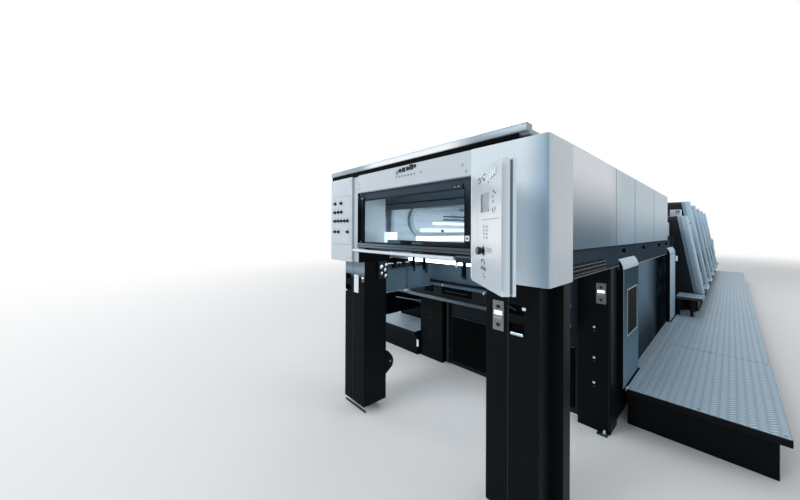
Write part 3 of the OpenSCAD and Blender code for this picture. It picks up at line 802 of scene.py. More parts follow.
# Operators


class PressOperator(bpy.types.Operator):
    """Common part of the operators that make pieces."""

    bl_options = {"REGISTER", "UNDO"}

    @classmethod
    def poll(cls, context):
        return context.scene is not None


class PRESS_OT_stage(PressOperator):
    """Floor, backdrop, soft lamps and the camera."""

    bl_idname = "press.stage"
    bl_label = "Studio"

    # Name, place, aim, width and power of the soft lamps
    lamps = (
        ("key_lamp", (-3, -19, 8), (0, -7, 1), 7, 1500),
        ("side_lamp", (13, -3, 6), (0, -2, 1), 9, 560),
        ("top_lamp", (0, 0, 10), (0, 0, 0), 14, 900),
        ("left_lamp", (-12, -12, 6), (0, -4, 1), 7, 600),
    )
    # The camera's place behind the hood front, its axes, its rise as a share of its sensor, and the sensor
    eye = (1.5, -1.4, 1.55)
    right = Vector((0.67531, 0.73752, 0.00472))
    ahead = Vector((-0.73753, 0.6753, 0.00284))
    rise = -0.0242
    sensor = 36
    # The floor's half width, and how far off it starts to turn white and is white
    half_floor = 60
    fade = (7, 25)

    def execute(self, context):
        scene = context.scene
        studio = scene.press_studio
        self.floor(scene)
        self.world(scene, studio.sky)
        for name, place, aim, size, power in self.lamps:
            data = bpy.data.lights.new(name, "AREA")
            data.shape = "DISK"
            data.size = size
            data.energy = power * studio.lamp
            lamp = bpy.data.objects.new(name, data)
            lamp.location = place
            lamp.rotation_euler = (Vector(aim) - Vector(place)).to_track_quat("-Z", "Y").to_euler()
            scene.collection.objects.link(lamp)
        self.camera(scene, studio.lens)
        return {"FINISHED"}

    def floor(self, scene):
        """Pale floor that takes shadows near the press and turns into the white backdrop far away."""
        finish = Finish("pale_floor", Roughness=0.8, Specular_IOR_Level=0.1)
        finish.set(Base_Color=(0.91, 0.92, 0.93))
        x, y, _ = finish.axes()
        wide = x * 1.7
        far = ((wide * wide + y * y) ** 0.5).rise(*self.fade)
        glow = finish.add("ShaderNodeEmission", None, {"Color": (1, 1, 1), "Strength": 1.0})
        plain = Signal(finish, finish.shader.outputs[0])
        mix = finish.add("ShaderNodeMixShader", None, {0: far * finish.seen(), 1: plain, 2: glow})
        finish.feed(finish.tree.nodes["Material Output"].inputs[0], mix)
        mesh = bmesh.new()
        bmesh.ops.create_grid(mesh, x_segments=1, y_segments=1, size=self.half_floor)
        data = bpy.data.meshes.new("floor")
        mesh.to_mesh(data)
        mesh.free()
        floor = bpy.data.objects.new("floor", data)
        scene.collection.objects.link(floor)
        data.materials.append(finish.material)

    def world(self, scene, strength):
        """Even light from all round, and a plain white backdrop."""
        world = bpy.data.worlds.new("studio")
        world.use_nodes = True
        nodes = Nodes(world.node_tree)
        light = nodes.add("ShaderNodeBackground", None, {"Color": (0.93, 0.97, 1), "Strength": strength})
        white = nodes.add("ShaderNodeBackground", None, {"Color": (1, 1, 1), "Strength": 1.0})
        mix = nodes.add("ShaderNodeMixShader", None, {0: nodes.seen(), 1: light, 2: white})
        nodes.feed(nodes.tree.nodes["World Output"].inputs[0], mix)
        scene.world = world

    def camera(self, scene, lens):
        """The camera as it was fitted to the photo's straight edges."""
        data = bpy.data.cameras.new("camera")
        data.lens = lens
        data.sensor_width = self.sensor
        data.shift_y = self.rise
        data.clip_start = 0.05
        camera = bpy.data.objects.new("camera", data)
        up = self.right.cross(self.ahead)
        turn = Matrix((self.right, up, -self.ahead)).transposed().to_4x4()
        camera.matrix_world = Matrix.Translation(at(*self.eye)) @ turn
        scene.collection.objects.link(camera)
        scene.camera = camera
        scene.view_settings.view_transform = "Standard"


class PRESS_OT_finishes(PressOperator):
    """Finishes of the CAD nodes, by their material slot."""

    bl_idname = "press.finishes"
    bl_label = "Paints and metals"

    def execute(self, context):
        make_finishes(context.scene.press_colours, context.scene.press_sizes)
        for name, node in frame["nodes"].items():
            node.data.materials.clear()
            node.data.materials.append(finish_named(SLOTS[name]))
        return {"FINISHED"}


class PRESS_OT_shells(PressOperator):
    """Rounded shells in place of the sharp CAD boxes, panels and legs."""

    bl_idname = "press.shells"
    bl_label = "Rounded shells"

    # How far the edges of each node are rounded, in metres
    widths = {
        "left_control_plate": 0.005, "fascia": 0.004, "hood_roof": 0.005, "side_panels_left": 0.003,
        "side_panels_right": 0.003, "delivery_leg_right": 0.004, "rear_post_left": 0.005,
        "rear_post_right": 0.005, "lower_panels": 0.004, "unit_covers_left": 0.004,
        "unit_covers_right": 0.004, "coater_terminal": 0.008, "gallery_plinths": 0.004,
        "feeder_frame_left": 0.012, "feeder_frame_right": 0.012, "feeder_head": 0.01, "coater": 0.005,
        "unit_1": 0.005, "unit_2": 0.005, "unit_3": 0.005, "unit_4": 0.005, "unit_5": 0.005,
        "delivery_base": 0.006, "delivery_neck": 0.01, "hood_tail": 0.004, "side_band_left": 0.002,
        "side_band_right": 0.002, "machine_bed": 0.006, "inner_portal": 0.006, "window_frame": 0.003,
        "chain_tracks": 0.003,
    }
    # Finishes of shells that look different from their node's slot
    own_finish = {
        "inner_portal": "inner_plate", "chain_tracks": "inner_plate", "window_frame": "frame_black",
        "side_panels_left": "hood_silver", "side_panels_right": "hood_silver",
        "lower_panels": "lower_panel", "unit_covers_left": "wing_silver",
        "unit_covers_right": "wing_silver", "hood_roof": "lip_silver", "side_band_left": "band_paint",
        "side_band_right": "band_paint",
    }
    # Nodes with tread plate on top, and how far their edges are rounded
    treads = {"gallery_deck_left": 0.004, "gallery_deck_right": 0.004, "footboards": 0.003,
              "step_bench": 0.004}

    def execute(self, context):
        sizes = context.scene.press_sizes
        for node, width in self.widths.items():
            rounded_copy(node, self.own_finish.get(node, SLOTS[node]), width)
        rounded_copy("guard_cabinets", "cabinet_side", 0.004, cabinet_finish)
        for node, width in self.treads.items():
            rounded_copy(node, "deck_side", width, tread_finish)
        rounded_copy("front_box_left", "post_paint", sizes.box_edge, left_box_finish)
        rounded_copy("front_box_right", "box_fade", sizes.box_edge, right_box_finish)
        rounded_copy("delivery_leg_left", "black_paint", 0.004, left_leg_finish)
        rounded_copy("swing_panel", "panel_side", sizes.shell_edge, swing_finish, PANEL_BODY, 3)
        return {"FINISHED"}


class PRESS_OT_control_plate(PressOperator):
    """Knobs, inset plate and seams of the left control plate."""

    bl_idname = "press.control_plate"
    bl_label = "Left control plate"

    # Height of each row of knobs, and their places across
    rows = ((1.791, (-0.878, -0.779)), (1.715, (-0.883, -0.827, -0.775)),
            (1.638, (-0.882, -0.831, -0.779, -0.727, -0.678)), (1.545, (-0.881, -0.822, -0.677)))

    def execute(self, context):
        piece = Piece("control_plate_knobs")
        radius = context.scene.press_sizes.knob / 2
        cap = ((0, 0), (0, radius * 1.2), (0.003, radius * 1.2), (0.005, radius),
               (0.016, radius * 0.92), (0.019, radius * 0.75), (0.019, 0))
        piece.on_front(-0.905, -0.655, 1.438, 1.847, 0, 0.0015, "panel_white", 0.001)
        for height in (1.438, 1.845):
            piece.on_front(-0.915, -0.645, height, height + 0.003, 0, 0.0022, "grey_plastic")
        for height, places in self.rows:
            for x in places:
                piece.turned(cap, at(x, -0.0015, height), -Y, "knob_plastic", 16)
                piece.on_front(x - 0.002, x + 0.002, height + 0.004, height + 0.011, -0.0195, 0.0012,
                               "label_white")
                piece.on_front(x - 0.012, x + 0.012, height + 0.021, height + 0.026, 0, 0.002,
                               "grey_plastic")
        for x in (-0.936, -0.64):
            for height in (1.33, 1.965):
                piece.screw(at(x, 0, height), -Y, 0.005, "grey_plastic")
        piece.done()
        return {"FINISHED"}


class PRESS_OT_fascia_marks(PressOperator):
    """Signal lamps, small buttons and marks on the fascia over the window."""

    bl_idname = "press.fascia_marks"
    bl_label = "Fascia lamps and buttons"

    # Place, width, foot and top of each lamp, and the middle of each mark
    lamps = ((-0.083, 0.022, 1.945, 1.972), (-0.052, 0.026, 1.955, 1.98), (-0.018, 0.03, 1.955, 1.985),
             (0.022, 0.026, 1.96, 1.985), (0.054, 0.034, 1.96, 1.995), (0.094, 0.02, 1.968, 1.99))
    marks = ((0.156, 1.93), (0.479, 1.925), (0.505, 1.885), (-0.525, 1.927), (-0.53, 1.892))

    def execute(self, context):
        piece = Piece("fascia_buttons")
        face = 0.008
        for index, (x, width, low, high) in enumerate(self.lamps):
            finish = "grey_plastic" if index == 0 else "knob_plastic"
            piece.on_front(x, x + width, low, high, face, 0.006, finish, 0.003)
        button = ((0, 0), (0, 0.006), (0.004, 0.006), (0.006, 0.004), (0.006, 0))
        for index in range(7):
            piece.turned(button, at(-0.075 + index * 0.029, face, 1.928), -Y, "grey_plastic", 12)
        for x, height in self.marks:
            for wide, low, high in ((0.01, 0.004, 0.008), (0.003, -0.01, 0.004)):
                piece.on_front(x - wide, x + wide, height + low, height + high, face, 0.002,
                               "grey_plastic", 0.001)
        piece.on_front(-0.53, 0.53, 1.8575, 1.8605, face, 0.0015, "grey_plastic")
        piece.done()
        return {"FINISHED"}


class PRESS_OT_window_fittings(PressOperator):
    """Gasket, latches and label plate of the window."""

    bl_idname = "press.window_fittings"
    bl_label = "Window fittings"

    def execute(self, context):
        low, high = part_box("window_glass")
        face = 0.03
        gasket = Piece("window_gasket")
        strips = rims(low.x, high.x, low.z, high.z, 0.006)
        for strip, finish in zip(strips, ("rubber", "rubber", "frame_black", "rubber")):
            gasket.on_front(*strip, face, 0.003, finish, 0.0015)
        gasket.block(at(-0.5405, 0.003, 1.457), at(-0.5365, 0.03, 1.857), "frame_black", 0.001)
        gasket.done()
        latch = Piece("window_latches")
        latch.on_front(-0.522, -0.478, 1.8, 1.829, face, 0.012, "knob_plastic", 0.003)
        for x in (-0.516, -0.498):
            latch.on_front(x, x + 0.01, 1.806, 1.817, face - 0.012, 0.001, "edge_grey", 0.0008)
        latch.on_front(0.396, 0.472, 1.796, 1.826, face, 0.012, "knob_plastic", 0.003)
        for x in (0.412, 0.44):
            latch.on_front(x, x + 0.012, 1.806, 1.812, face - 0.012, 0.001, "edge_grey", 0.0008)
        latch.on_front(0.484, 0.512, 1.497, 1.528, face, 0.0015, "label_white", 0.001)
        latch.on_front(0.492, 0.504, 1.506, 1.519, face, 0.0022, "mark_grey", 0.001)
        for x in (-0.535, 0.53):
            latch.screw(at(x, face, 1.845), -Y, 0.005, "bright_steel")
            latch.screw(at(x, face, 1.468), -Y, 0.005, "bright_steel")
        latch.done()
        return {"FINISHED"}


class PRESS_OT_delivery_inside(PressOperator):
    """Liner, arch, glowing strips of painted light, lamp, pipes, card and tray that show through the window."""

    bl_idname = "press.delivery_inside"
    bl_label = "Inside of the delivery"

    def execute(self, context):
        self.liner()
        self.arch()
        self.lights()
        self.pipes()
        self.tray()
        return {"FINISHED"}

    def liner(self):
        """Pale sheets on the side walls, with a tapered plate at the near end of the left one."""
        liner = Piece("delivery_liner")
        for x0, x1 in sides(INNER_WALL - 0.003, INNER_WALL + 0.002):
            liner.block(at(x0, 0.59, 1.3), at(x1, 3.9, 1.99), "inner_wall", 0.002)
        wall = -INNER_WALL
        liner.block(at(wall - 0.002, 0.125, 1.3), at(wall + 0.002, 0.55, 1.97), "inner_plate", 0.001)
        tapered = ((0.125, 1.31), (0.462, 1.31), (0.385, 1.86), (0.125, 1.86))
        liner.extruded([at(wall, y, z) for y, z in tapered], X * 0.016, "inner_plate", 0.004)
        liner.rod(at(wall + 0.012, 0.468, 1.31), at(wall + 0.012, 0.39, 1.86), 0.006, "mark_grey", 12)
        liner.done()

    def arch(self):
        """Stiffening arch in front of the printing space, with a folded lip over its opening."""
        inner, outer, corner, foot, crown, high = 0.742, INNER_WALL - 0.001, 0.1, 1.31, 1.748, 1.97
        opening = [(-inner, foot)]
        for step in range(9):
            angle = math.radians(180 - 11.25 * step)
            across, up = corner * math.cos(angle), corner * math.sin(angle)
            opening.append((corner - inner + across, crown - corner + up))
        opening += [(-x, z) for x, z in reversed(opening)]
        outline = [(-outer, foot)] + opening + [(outer, foot), (outer, high), (-outer, high)]
        arch = Piece("delivery_arch")
        arch.extruded([at(x, 0.45, z) for x, z in outline], Y * 0.02, "inner_arch", 0.002)
        arch.block(at(-0.7, 0.438, 1.797), at(0.7, 0.452, 1.806), "slot_black", 0.002)
        arch.done()

    def lights(self):
        """Pale strips on the left wall that glow as painted light, and the lamp on the right wall that brightens
        them.
        """
        strip = Piece("delivery_glowing_strips")
        face = 0.003 - INNER_WALL
        for start, low, high, depth in ((0.95, 1.436, 1.502, 0.012), (1.02, 1.537, 1.584, 0.01),
                                        (1.22, 1.632, 1.66, 0.008)):
            strip.block(at(face, start, low), at(face + depth, 3.6, high), "strip_white", 0.003, 3)
        strip.done()
        glow = Piece("delivery_lamp")
        glow.block(at(INNER_WALL - 0.022, 0.75, 1.46), at(INNER_WALL - 0.004, 3.7, 1.84), "lamp_strong",
                   0.004)
        glow.block(at(0.53, 0.12, 1.6), at(0.538, 0.42, 1.68), "lamp_strong", 0.002)
        glow.done()

    def pipes(self):
        """Pipes along the left wall, and the head of one."""
        pipe = Piece("delivery_blower_pipes")

        def along(x, start, z, *rest):
            pipe.rod(at(x - INNER_WALL, start, z), at(x - INNER_WALL, 3.5, z), *rest)

        for height in (1.692, 1.73):
            along(0.02, 1.4, height, 0.008, "mark_grey", 16, 0.002)
            along(0.036, 1.52, height + 0.012, 0.004, "bright_steel", 12)
        along(0.012, 1.1, 1.522, 0.005, "mark_grey", 12)
        pipe.turned(((0, 0), (0, 0.02), (0.012, 0.02), (0.018, 0.014), (0.03, 0.014), (0.032, 0)),
                    at(0.004 - INNER_WALL, 1.38, 1.56), X, "mark_grey", 20)
        pipe.done()

    def tray(self):
        """A card that glows as painted light, and what lies on the tray behind the sill."""
        card = Piece("delivery_tray")
        card.block(at(-0.49, 0.245, 1.442), at(-0.331, 0.25, 1.545), "strip_white", 0.0015)
        card.block(at(-0.238, 0.062, 1.448), at(-0.096, 0.118, 1.488), "mark_grey", 0.006, 3)
        card.block(at(-0.094, 0.062, 1.448), at(0.018, 0.118, 1.486), "slot_black", 0.005, 3)
        card.block(at(0.022, 0.06, 1.4), at(0.54, 0.128, 1.486), "dark_paint", 0.004)
        card.block(at(0.03, 0.056, 1.41), at(0.13, 0.0605, 1.478), "mark_grey", 0.002)
        card.block(at(-0.54, 0.128, 1.4), at(0.022, 0.16, 1.462), "mark_grey", 0.004)
        card.block(at(-0.52, 0.124, 1.44), at(-0.46, 0.128, 1.455), "label_white", 0.001)
        card.done()


class PRESS_OT_sill(PressOperator):
    """Dark sill with bright trims and a painted shadow along its foot, and the hand rail with its ends."""

    bl_idname = "press.sill"
    bl_label = "Sill and hand rail"

    def execute(self, context):
        rounded_copy("sill_and_rail", "sill_grey", 0.003)
        trim = Piece("sill_trims")
        half = 0.54
        trim.on_front(-half, half, 1.4505, 1.4555, 0, 0.002, "sill_grey", 0.001)
        # Black strip along the sill's foot: painted shadow of the gap above the hand rail
        trim.on_front(-half, half, 1.4205, 1.4245, 0, 0.002, "slot_black", 0.001)
        trim.on_front(-half, half, 1.438, 1.4405, 0, 0.0015, "slot_black")
        trim.block(at(-0.5405, 0.015, 1.297), at(-0.538, 0.345, 1.418), "slot_black", 0.001)
        trim.done()
        rail = Piece("hand_rail_tube")
        left, depth, height = -0.611, 0.011, 1.395
        rail.cross_rod(left, 0.425, depth, height, 0.0122, "rail_white", 28, 0.003)
        rail.rod(at(0.418, depth, height - 0.002), at(0.452, depth, height - 0.016), 0.01, "rail_white", 24,
                 0.003)
        rail.screw(at(left, depth, height), -X, 0.0085, "bright_steel")
        rail.block(at(-0.53, 0.004, height - 0.009), at(-0.49, 0.03, height + 0.022), "sill_grey", 0.004, 3)
        rail.block(at(0.44, -0.003, height - 0.02), at(0.54, 0.035, height + 0.022), "leg_grey", 0.005, 3)
        rail.block(at(0.44, -0.004, height + 0.01), at(0.54, 0.0, height + 0.018), "mark_grey", 0.001)
        rail.rod(at(0.432, 0.02, height - 0.05), at(0.432, 0.02, height - 0.018), 0.006, "bright_steel", 16,
                 0.002)
        rail.done()
        return {"FINISHED"}


class PRESS_OT_swing_panel(PressOperator):
    """Display, keys, knob and marks on the swing panel, with painted shadows and highlights, and the groove round
    its shell.
    """

    bl_idname = "press.swing_panel"
    bl_label = "Swing panel fittings"

    # x, z, width and height of the marks, from the face's hinge side
    grey_icons = ((0.136, 1.8, 0.018, 0.014), (0.16, 1.789, 0.012, 0.018), (0.184, 1.799, 0.02, 0.01),
                  (0.218, 1.808, 0.03, 0.006), (0.212, 1.786, 0.022, 0.012), (0.142, 1.779, 0.022, 0.006),
                  (0.297, 1.777, 0.009, 0.008), (0.268, 1.766, 0.01, 0.009))
    white_icons = ((0.298, 1.786, 0.02, 0.02), (0.324, 1.794, 0.02, 0.026), (0.35, 1.799, 0.022, 0.028))
    column_marks = ((0.334, 1.719, 0.02, 0.007), (0.352, 1.71, 0.014, 0.007), (0.323, 1.697, 0.014, 0.007),
                    (0.331, 1.676, 0.012, 0.009), (0.323, 1.643, 0.01, 0.014), (0.352, 1.645, 0.01, 0.016),
                    (0.338, 1.631, 0.016, 0.005))
    low_marks = ((0.18, 1.4155, 0.007, 0.018), (0.2, 1.422, 0.026, 0.006), (0.22, 1.41, 0.01, 0.016),
                 (0.172, 1.384, 0.008, 0.014), (0.196, 1.386, 0.02, 0.018), (0.226, 1.383, 0.022, 0.016),
                 (0.208, 1.36, 0.01, 0.008), (0.22, 1.348, 0.012, 0.008))

    def execute(self, context):
        piece = Piece("swing_panel_fittings")
        face = -0.029

        def plate(x, z, width, height, proud, finish, edge=0.0006):
            low = (x - width / 2, face - proud, z - height / 2)
            high = (x + width / 2, face + 0.001, z + height / 2)
            piece.block(low, high, finish, edge)

        for x, z, width, height in (*self.grey_icons, *self.low_marks):
            plate(x, z, width, height, 0.001, "mark_grey")
        for x, z, width, height in self.column_marks:
            plate(x, z, width, height, 0.001, "plate_grey")
        for x, z, width, height in self.white_icons:
            # A grey copy behind each white icon, offset down and to the side: a painted shadow
            plate(x + 0.002, z - 0.002, width * 1.08, height * 1.08, 0.0006, "mark_grey")
            plate(x, z, width, height, 0.0016, "label_white")
        plate(0.33, 1.662, 0.016, 0.012, 0.0014, "label_white")
        screen, middle = 0.224, 1.682
        plate(screen, middle, 0.116, 0.088, 0.0008, "key_white")
        plate(screen, middle, 0.108, 0.08, 0.0012, "screen_pale")
        plate(screen - 0.04, middle, 0.026, 0.08, 0.0016, "plate_grey")
        for x in (0.172, 0.278):
            plate(x, 1.644, 0.005, 0.012, 0.002, "mark_grey")
        plate(0.296, 1.605, 0.224, 0.002, 0.0008, "edge_grey", 0.0003)
        for row in range(4):
            for column in range(2):
                x, z = 0.214 + column * 0.038, 1.574 - row * 0.0165
                plate(x, z, 0.026, 0.0105, 0.0008, "key_white", 0.0005)
        plate(0.281, 1.4715, 0.064, 0.02, 0.0006, "key_white")
        # Pale upright strips along the face's bevels: painted highlights
        plate(0.427, 1.57, 0.01, 0.49, 0.0012, "key_white", 0.001)
        plate(0.1125, 1.57, 0.002, 0.46, 0.0006, "key_white", 0.0003)
        knob = (0.208, face, 1.465)
        piece.turned(((0, 0), (0, 0.019), (0.003, 0.019), (0.005, 0.011), (0.012, 0.011), (0.014, 0.0165),
                      (0.028, 0.018), (0.031, 0.015), (0.032, 0)), knob, -Y, "knob_plastic", 24)
        piece.turned(((0, 0), (0, 0.0215), (0.002, 0.0215), (0.003, 0.019), (0.003, 0)), knob, -Y,
                     "edge_grey", 24)
        piece.turned(((0.032, 0), (0.032, 0.016), (0.0332, 0.015), (0.0335, 0)), knob, -Y, "edge_grey", 24)
        piece.shift_all(panel_place())
        piece.done(PANEL_BODY)
        # Blue-grey block in the groove round the shell: painted shade of the groove
        seal = Piece("swing_panel_groove_shade")
        seal.block((0.02, 0.0052, 1.309), (0.425, 0.0138, 1.829), "groove_blue", 0.002)
        seal.shift_all(panel_place())
        seal.done(PANEL_BODY)
        return {"FINISHED"}


class PRESS_OT_leg_fittings(PressOperator):
    """Button plates, latches, handles and seams of the front legs."""

    bl_idname = "press.leg_fittings"
    bl_label = "Leg fittings"

    def execute(self, context):
        front = LEG_FRONT
        leg = Piece("leg_button_plates")
        button_plate(leg, 0.62, 0.684, 1.021, 1.181, front)
        button_plate(leg, -0.612, -0.581, 1.12, 1.182, front)
        leg.on_front(-0.726, -0.661, 1.02, 1.175, front, 0.004, "label_white", 0.0015)
        for row in range(9):
            for column in range(2):
                x, z = -0.7125 + column * 0.027, 1.028 + row * 0.0165
                leg.on_front(x - 0.008, x + 0.008, z - 0.0015, z + 0.0015, front - 0.004, 0.0006, "key_white")
        leg.done()
        latch = Piece("leg_latches")
        for x0, x1 in ((0.713, 0.792), (-0.854, -0.78)):
            for low, high in ((1.129, 1.173), (1.035, 1.077)):
                latch.on_front(x0, x1, low, high, front + 0.024, 0.002, "slot_black")
        grip = ((0, 0), (0, 0.008), (0.012, 0.008), (0.014, 0.011), (0.024, 0.011), (0.027, 0.008),
                (0.027, 0))
        latch.turned(grip, at(0.803, front, 1.166), -Y, "bright_steel", 20)
        latch.rod(at(0.72, front - 0.006, 1.162), at(0.76, front - 0.014, 1.15), 0.006, "knob_plastic", 14,
                  0.002)
        latch.on_front(0.727, 0.797, 1.021, 1.037, front, 0.018, "bright_steel", 0.005)
        latch.on_front(-0.857, -0.815, 1.019, 1.033, front, 0.018, "bright_steel", 0.005)
        latch.done()
        seams = Piece("leg_seams")
        for x in (0.708, -0.743):
            seams.on_front(x - 0.0012, x + 0.0012, 0.072, 1.292, front, 0.0012, "edge_dark")
        for x0, x1 in sides(0.6, 0.905):
            seams.block(at(x0, 0.132, 0.001), at(x1, 0.137, 0.02), "leg_grey", 0.002)
        seams.done()
        bulge = Piece("leg_hoist_cover")
        outline = ((0.33, 0.28), (0.33, 0.5), (0.37, 0.475), (0.415, 0.42), (0.425, 0.38), (0.41, 0.335))
        bulge.extruded([at(-0.6, y, z) for y, z in outline], X * 0.03, "black_paint", 0.004)
        bulge.screw(at(-0.57, 0.385, 0.385), X, 0.007, "bright_steel")
        bulge.screw(at(-0.576, 0.274, 0.913), X, 0.005, "leg_grey")
        bulge.screw(at(-0.576, 0.28, 0.55), X, 0.005, "leg_grey")
        bulge.done()
        return {"FINISHED"}


class PRESS_OT_pile_space(PressOperator):
    """Guard strips, lamp bars and hangers, back board, beam, slots, bolts and the linkage round the pile."""

    bl_idname = "press.pile_space"
    bl_label = "Pile space fittings"

    def execute(self, context):
        self.guards()
        self.lamps()
        self.back()
        self.recess()
        self.linkage()
        return {"FINISHED"}

    def guards(self):
        """Guard boards, strips at their foot, and a dark plate that paints the shade under the shelf's left end.
        """
        rounded_copy("pile_guards", "board_grey", 0.003)
        foot = Piece("guard_foot_strip")
        foot.block(at(-0.806, 0.36, 0.948), at(-0.775, 1.17, 0.954), "edge_bright", 0.002)
        foot.block(at(-0.822, 0.755, 0.96), at(-0.797, 0.763, 1.19), "edge_grey", 0.002)
        foot.block(at(-0.824, 0.8, 0.96), at(-0.794, 0.822, 1.19), "mark_grey", 0.003)
        # Dark plate under the shelf's left end: painted shade
        foot.block(at(-1.64, 1.08, 0.44), at(-1.605, 2.0, 0.8), "slot_black", 0.004)
        foot.rod(at(-1.6, 1.369, 0.658), at(-1.6, 1.84, 0.53), 0.008, "edge_bright", 12, 0.002)
        foot.done()
        rounded_copy("sheet_brake", "knob_plastic", 0.003)

    def lamps(self):
        """Lamp bars over the pile, and what they hang from."""
        tube = Piece("pile_lamp_tube")
        tube.block(at(-0.5, 0.541, 1.288), at(0.42, 0.549, 1.311), "lamp_strong", 0.002)
        tube.block(at(-0.78, 0.835, 1.2595), at(0.81, 0.875, 1.2655), "lamp_strong", 0.0015)
        tube.done()
        clamp = Piece("pile_lamp_hangers")
        for x, low in ((-0.43, 1.225), (-0.3, 1.215), (0.12, 1.185)):
            clamp.block(at(x - 0.015, 0.529, low), at(x + 0.015, 0.541, 1.33), "slot_black", 0.003)
            clamp.block(at(x - 0.011, 0.526, low), at(x + 0.011, 0.53, low + 0.02), "leg_grey", 0.001)
        clamp.done()

    def back(self):
        """Board, bolts and beam behind the pile."""
        board_face, beam_face, left, right = 1.2, 1.17, -0.98, 0.62
        board = Piece("back_board")
        board.block(at(left, 1.19, 1.02), at(right, 1.199, 1.285), "board_grey", 0.003)
        board.on_front(-0.902, -0.785, 0.87, 0.952, board_face, 0.012, "slot_black", 0.002)
        board.on_front(-0.645, -0.265, 0.872, 0.945, board_face, 0.012, "slot_black", 0.002)
        board.on_front(-0.6, -0.31, 0.905, 0.912, board_face - 0.012, 0.006, "edge_dark", 0.002)
        board.block(at(left, 1.168, 1.018), at(right, 1.192, 1.028), "mark_grey", 0.003)
        board.block(at(left, 1.15, 0.962), at(-0.8, 1.17, 0.976), "edge_grey", 0.003)
        board.done()
        bolt = Piece("rail_bolts")
        for x, height in ((-1.09, 0.972), (-0.11, 0.955), (0.3, 0.97), (-0.62, 0.972)):
            bolt.screw(at(x, beam_face, height), -Y, 0.012, "bright_steel")
        for index in range(11):
            bolt.screw(at(-1.05 + index * 0.13, beam_face, 0.815), -Y, 0.006, "edge_grey")
        bolt.done()
        beam = Piece("beam_sheeting")
        beam.on_front(-1.14, 0.64, 0.797, 0.832, beam_face, 0.004, "worn_steel", 0.003)
        beam.block(at(-1.14, 1.168, 0.829), at(0.64, 1.2, 0.833), "worn_steel", 0.002)
        beam.block(at(-1.6, 1.195, 0.8295), at(-1.18, 1.368, 0.8325), "leg_grey", 0.001)
        beam.block(at(-1.6, 1.168, 0.8245), at(-1.18, 1.197, 0.8335), "edge_bright", 0.001)
        beam.done()

    def recess(self):
        """Slots of the drive post, and the dark door low down behind the pile."""
        post_face, door_face, pipe = 1.39, 1.46, (-0.745, 1.43)
        post = Piece("drive_post_slots")
        for height in (0.526, 0.303):
            slot = (-1.018, -0.984, height - 0.034, height + 0.034)
            for strip in rims(*slot, 0.003):
                post.on_front(*strip, post_face, 0.0015, "edge_dark")
            post.on_front(*slot, post_face, 0.0008, "slot_black")
        post.on_front(-1.18, -1.145, 0.105, 0.192, 1.348, 0.002, "label_white", 0.001)
        post.done()
        recess = Piece("recess_door")
        recess.on_front(-0.7, 0.6, 0.05, 0.565, door_face, 0.012, "slot_black", 0.004)
        recess.on_front(-0.7, 0.6, 0.565, 0.573, door_face, 0.016, "edge_dark", 0.002)
        recess.rod(at(*pipe, 0.02), at(*pipe, 0.78), 0.016, "knob_plastic", 16, 0.003)
        recess.screw(at(*pipe, 0.15), -Y, 0.022, "edge_dark")
        recess.done()

    def linkage(self):
        """Wheels, rods and blocks under the hood's left front corner."""
        gear = Piece("pile_linkage")
        column, rod = -0.556, -0.72
        wheel = ((0, 0), (0, 0.022), (0.004, 0.024), (0.012, 0.024), (0.014, 0.012), (0.02, 0.012),
                 (0.022, 0))
        for y, z, scale in ((0.262, 1.24, 0.8), (0.305, 1.212, 0.7), (0.268, 1.185, 0.6),
                            (0.312, 1.16, 0.75), (0.315, 1.255, 0.6)):
            scaled = [(along * scale, radius * scale) for along, radius in wheel]
            gear.turned(scaled, at(column, y, z), X, "bright_steel", 18)
        gear.block(at(-0.577, 0.235, 1.137), at(-0.554, 0.338, 1.288), "knob_plastic", 0.006)
        gear.block(at(-0.7, 0.36, 1.272), at(-0.69, 0.75, 1.28), "bright_steel", 0.002)
        gear.rod(at(rod, 0.43, 1.24), at(rod, 1.1, 1.24), 0.012, "bright_steel", 16, 0.002)
        gear.rod(at(rod, 0.62, 1.215), at(rod, 1.05, 1.215), 0.02, "knob_plastic", 16, 0.003)
        for y in (0.55, 0.66, 0.78, 0.92):
            gear.block(at(-0.75, y, 1.195), at(-0.69, y + 0.035, 1.262), "knob_plastic", 0.004)
            gear.cross_rod(-0.688, -0.675, y + 0.018, 1.245, 0.009, "bright_steel", 12, 0.002)
        gear.block(at(-0.79, 0.45, 1.262), at(-0.66, 0.82, 1.29), "slot_black", 0.005)
        gear.done()


class PRESS_OT_rear_posts(PressOperator):
    """Button plate, screws and foot bolt of the right-hand rear post."""

    bl_idname = "press.rear_posts"
    bl_label = "Rear post fittings"

    def execute(self, context):
        face = 1.35
        piece = Piece("rear_post_fittings")
        button_plate(piece, 0.784, 0.851, 0.995, 1.155, face)
        for height in (0.805, 0.564, 0.368):
            piece.screw(at(0.77, face, height), -Y, 0.009, "rail_white")
            piece.on_front(0.764, 0.776, height - 0.034, height - 0.026, face, 0.001, "edge_dark")
        piece.on_front(0.868, 0.8695, 0.02, 1.25, face, 0.0015, "edge_dark")
        piece.block(at(0.8, 1.3, 0.0), at(0.87, 1.349, 0.012), "edge_dark", 0.002)
        bolt = ((0, 0), (0, 0.014), (0.01, 0.014), (0.012, 0.009), (0.03, 0.009), (0.03, 0))
        piece.turned(bolt, at(0.845, 1.325, 0.012), Z, "bright_steel", 6)
        piece.done()
        return {"FINISHED"}


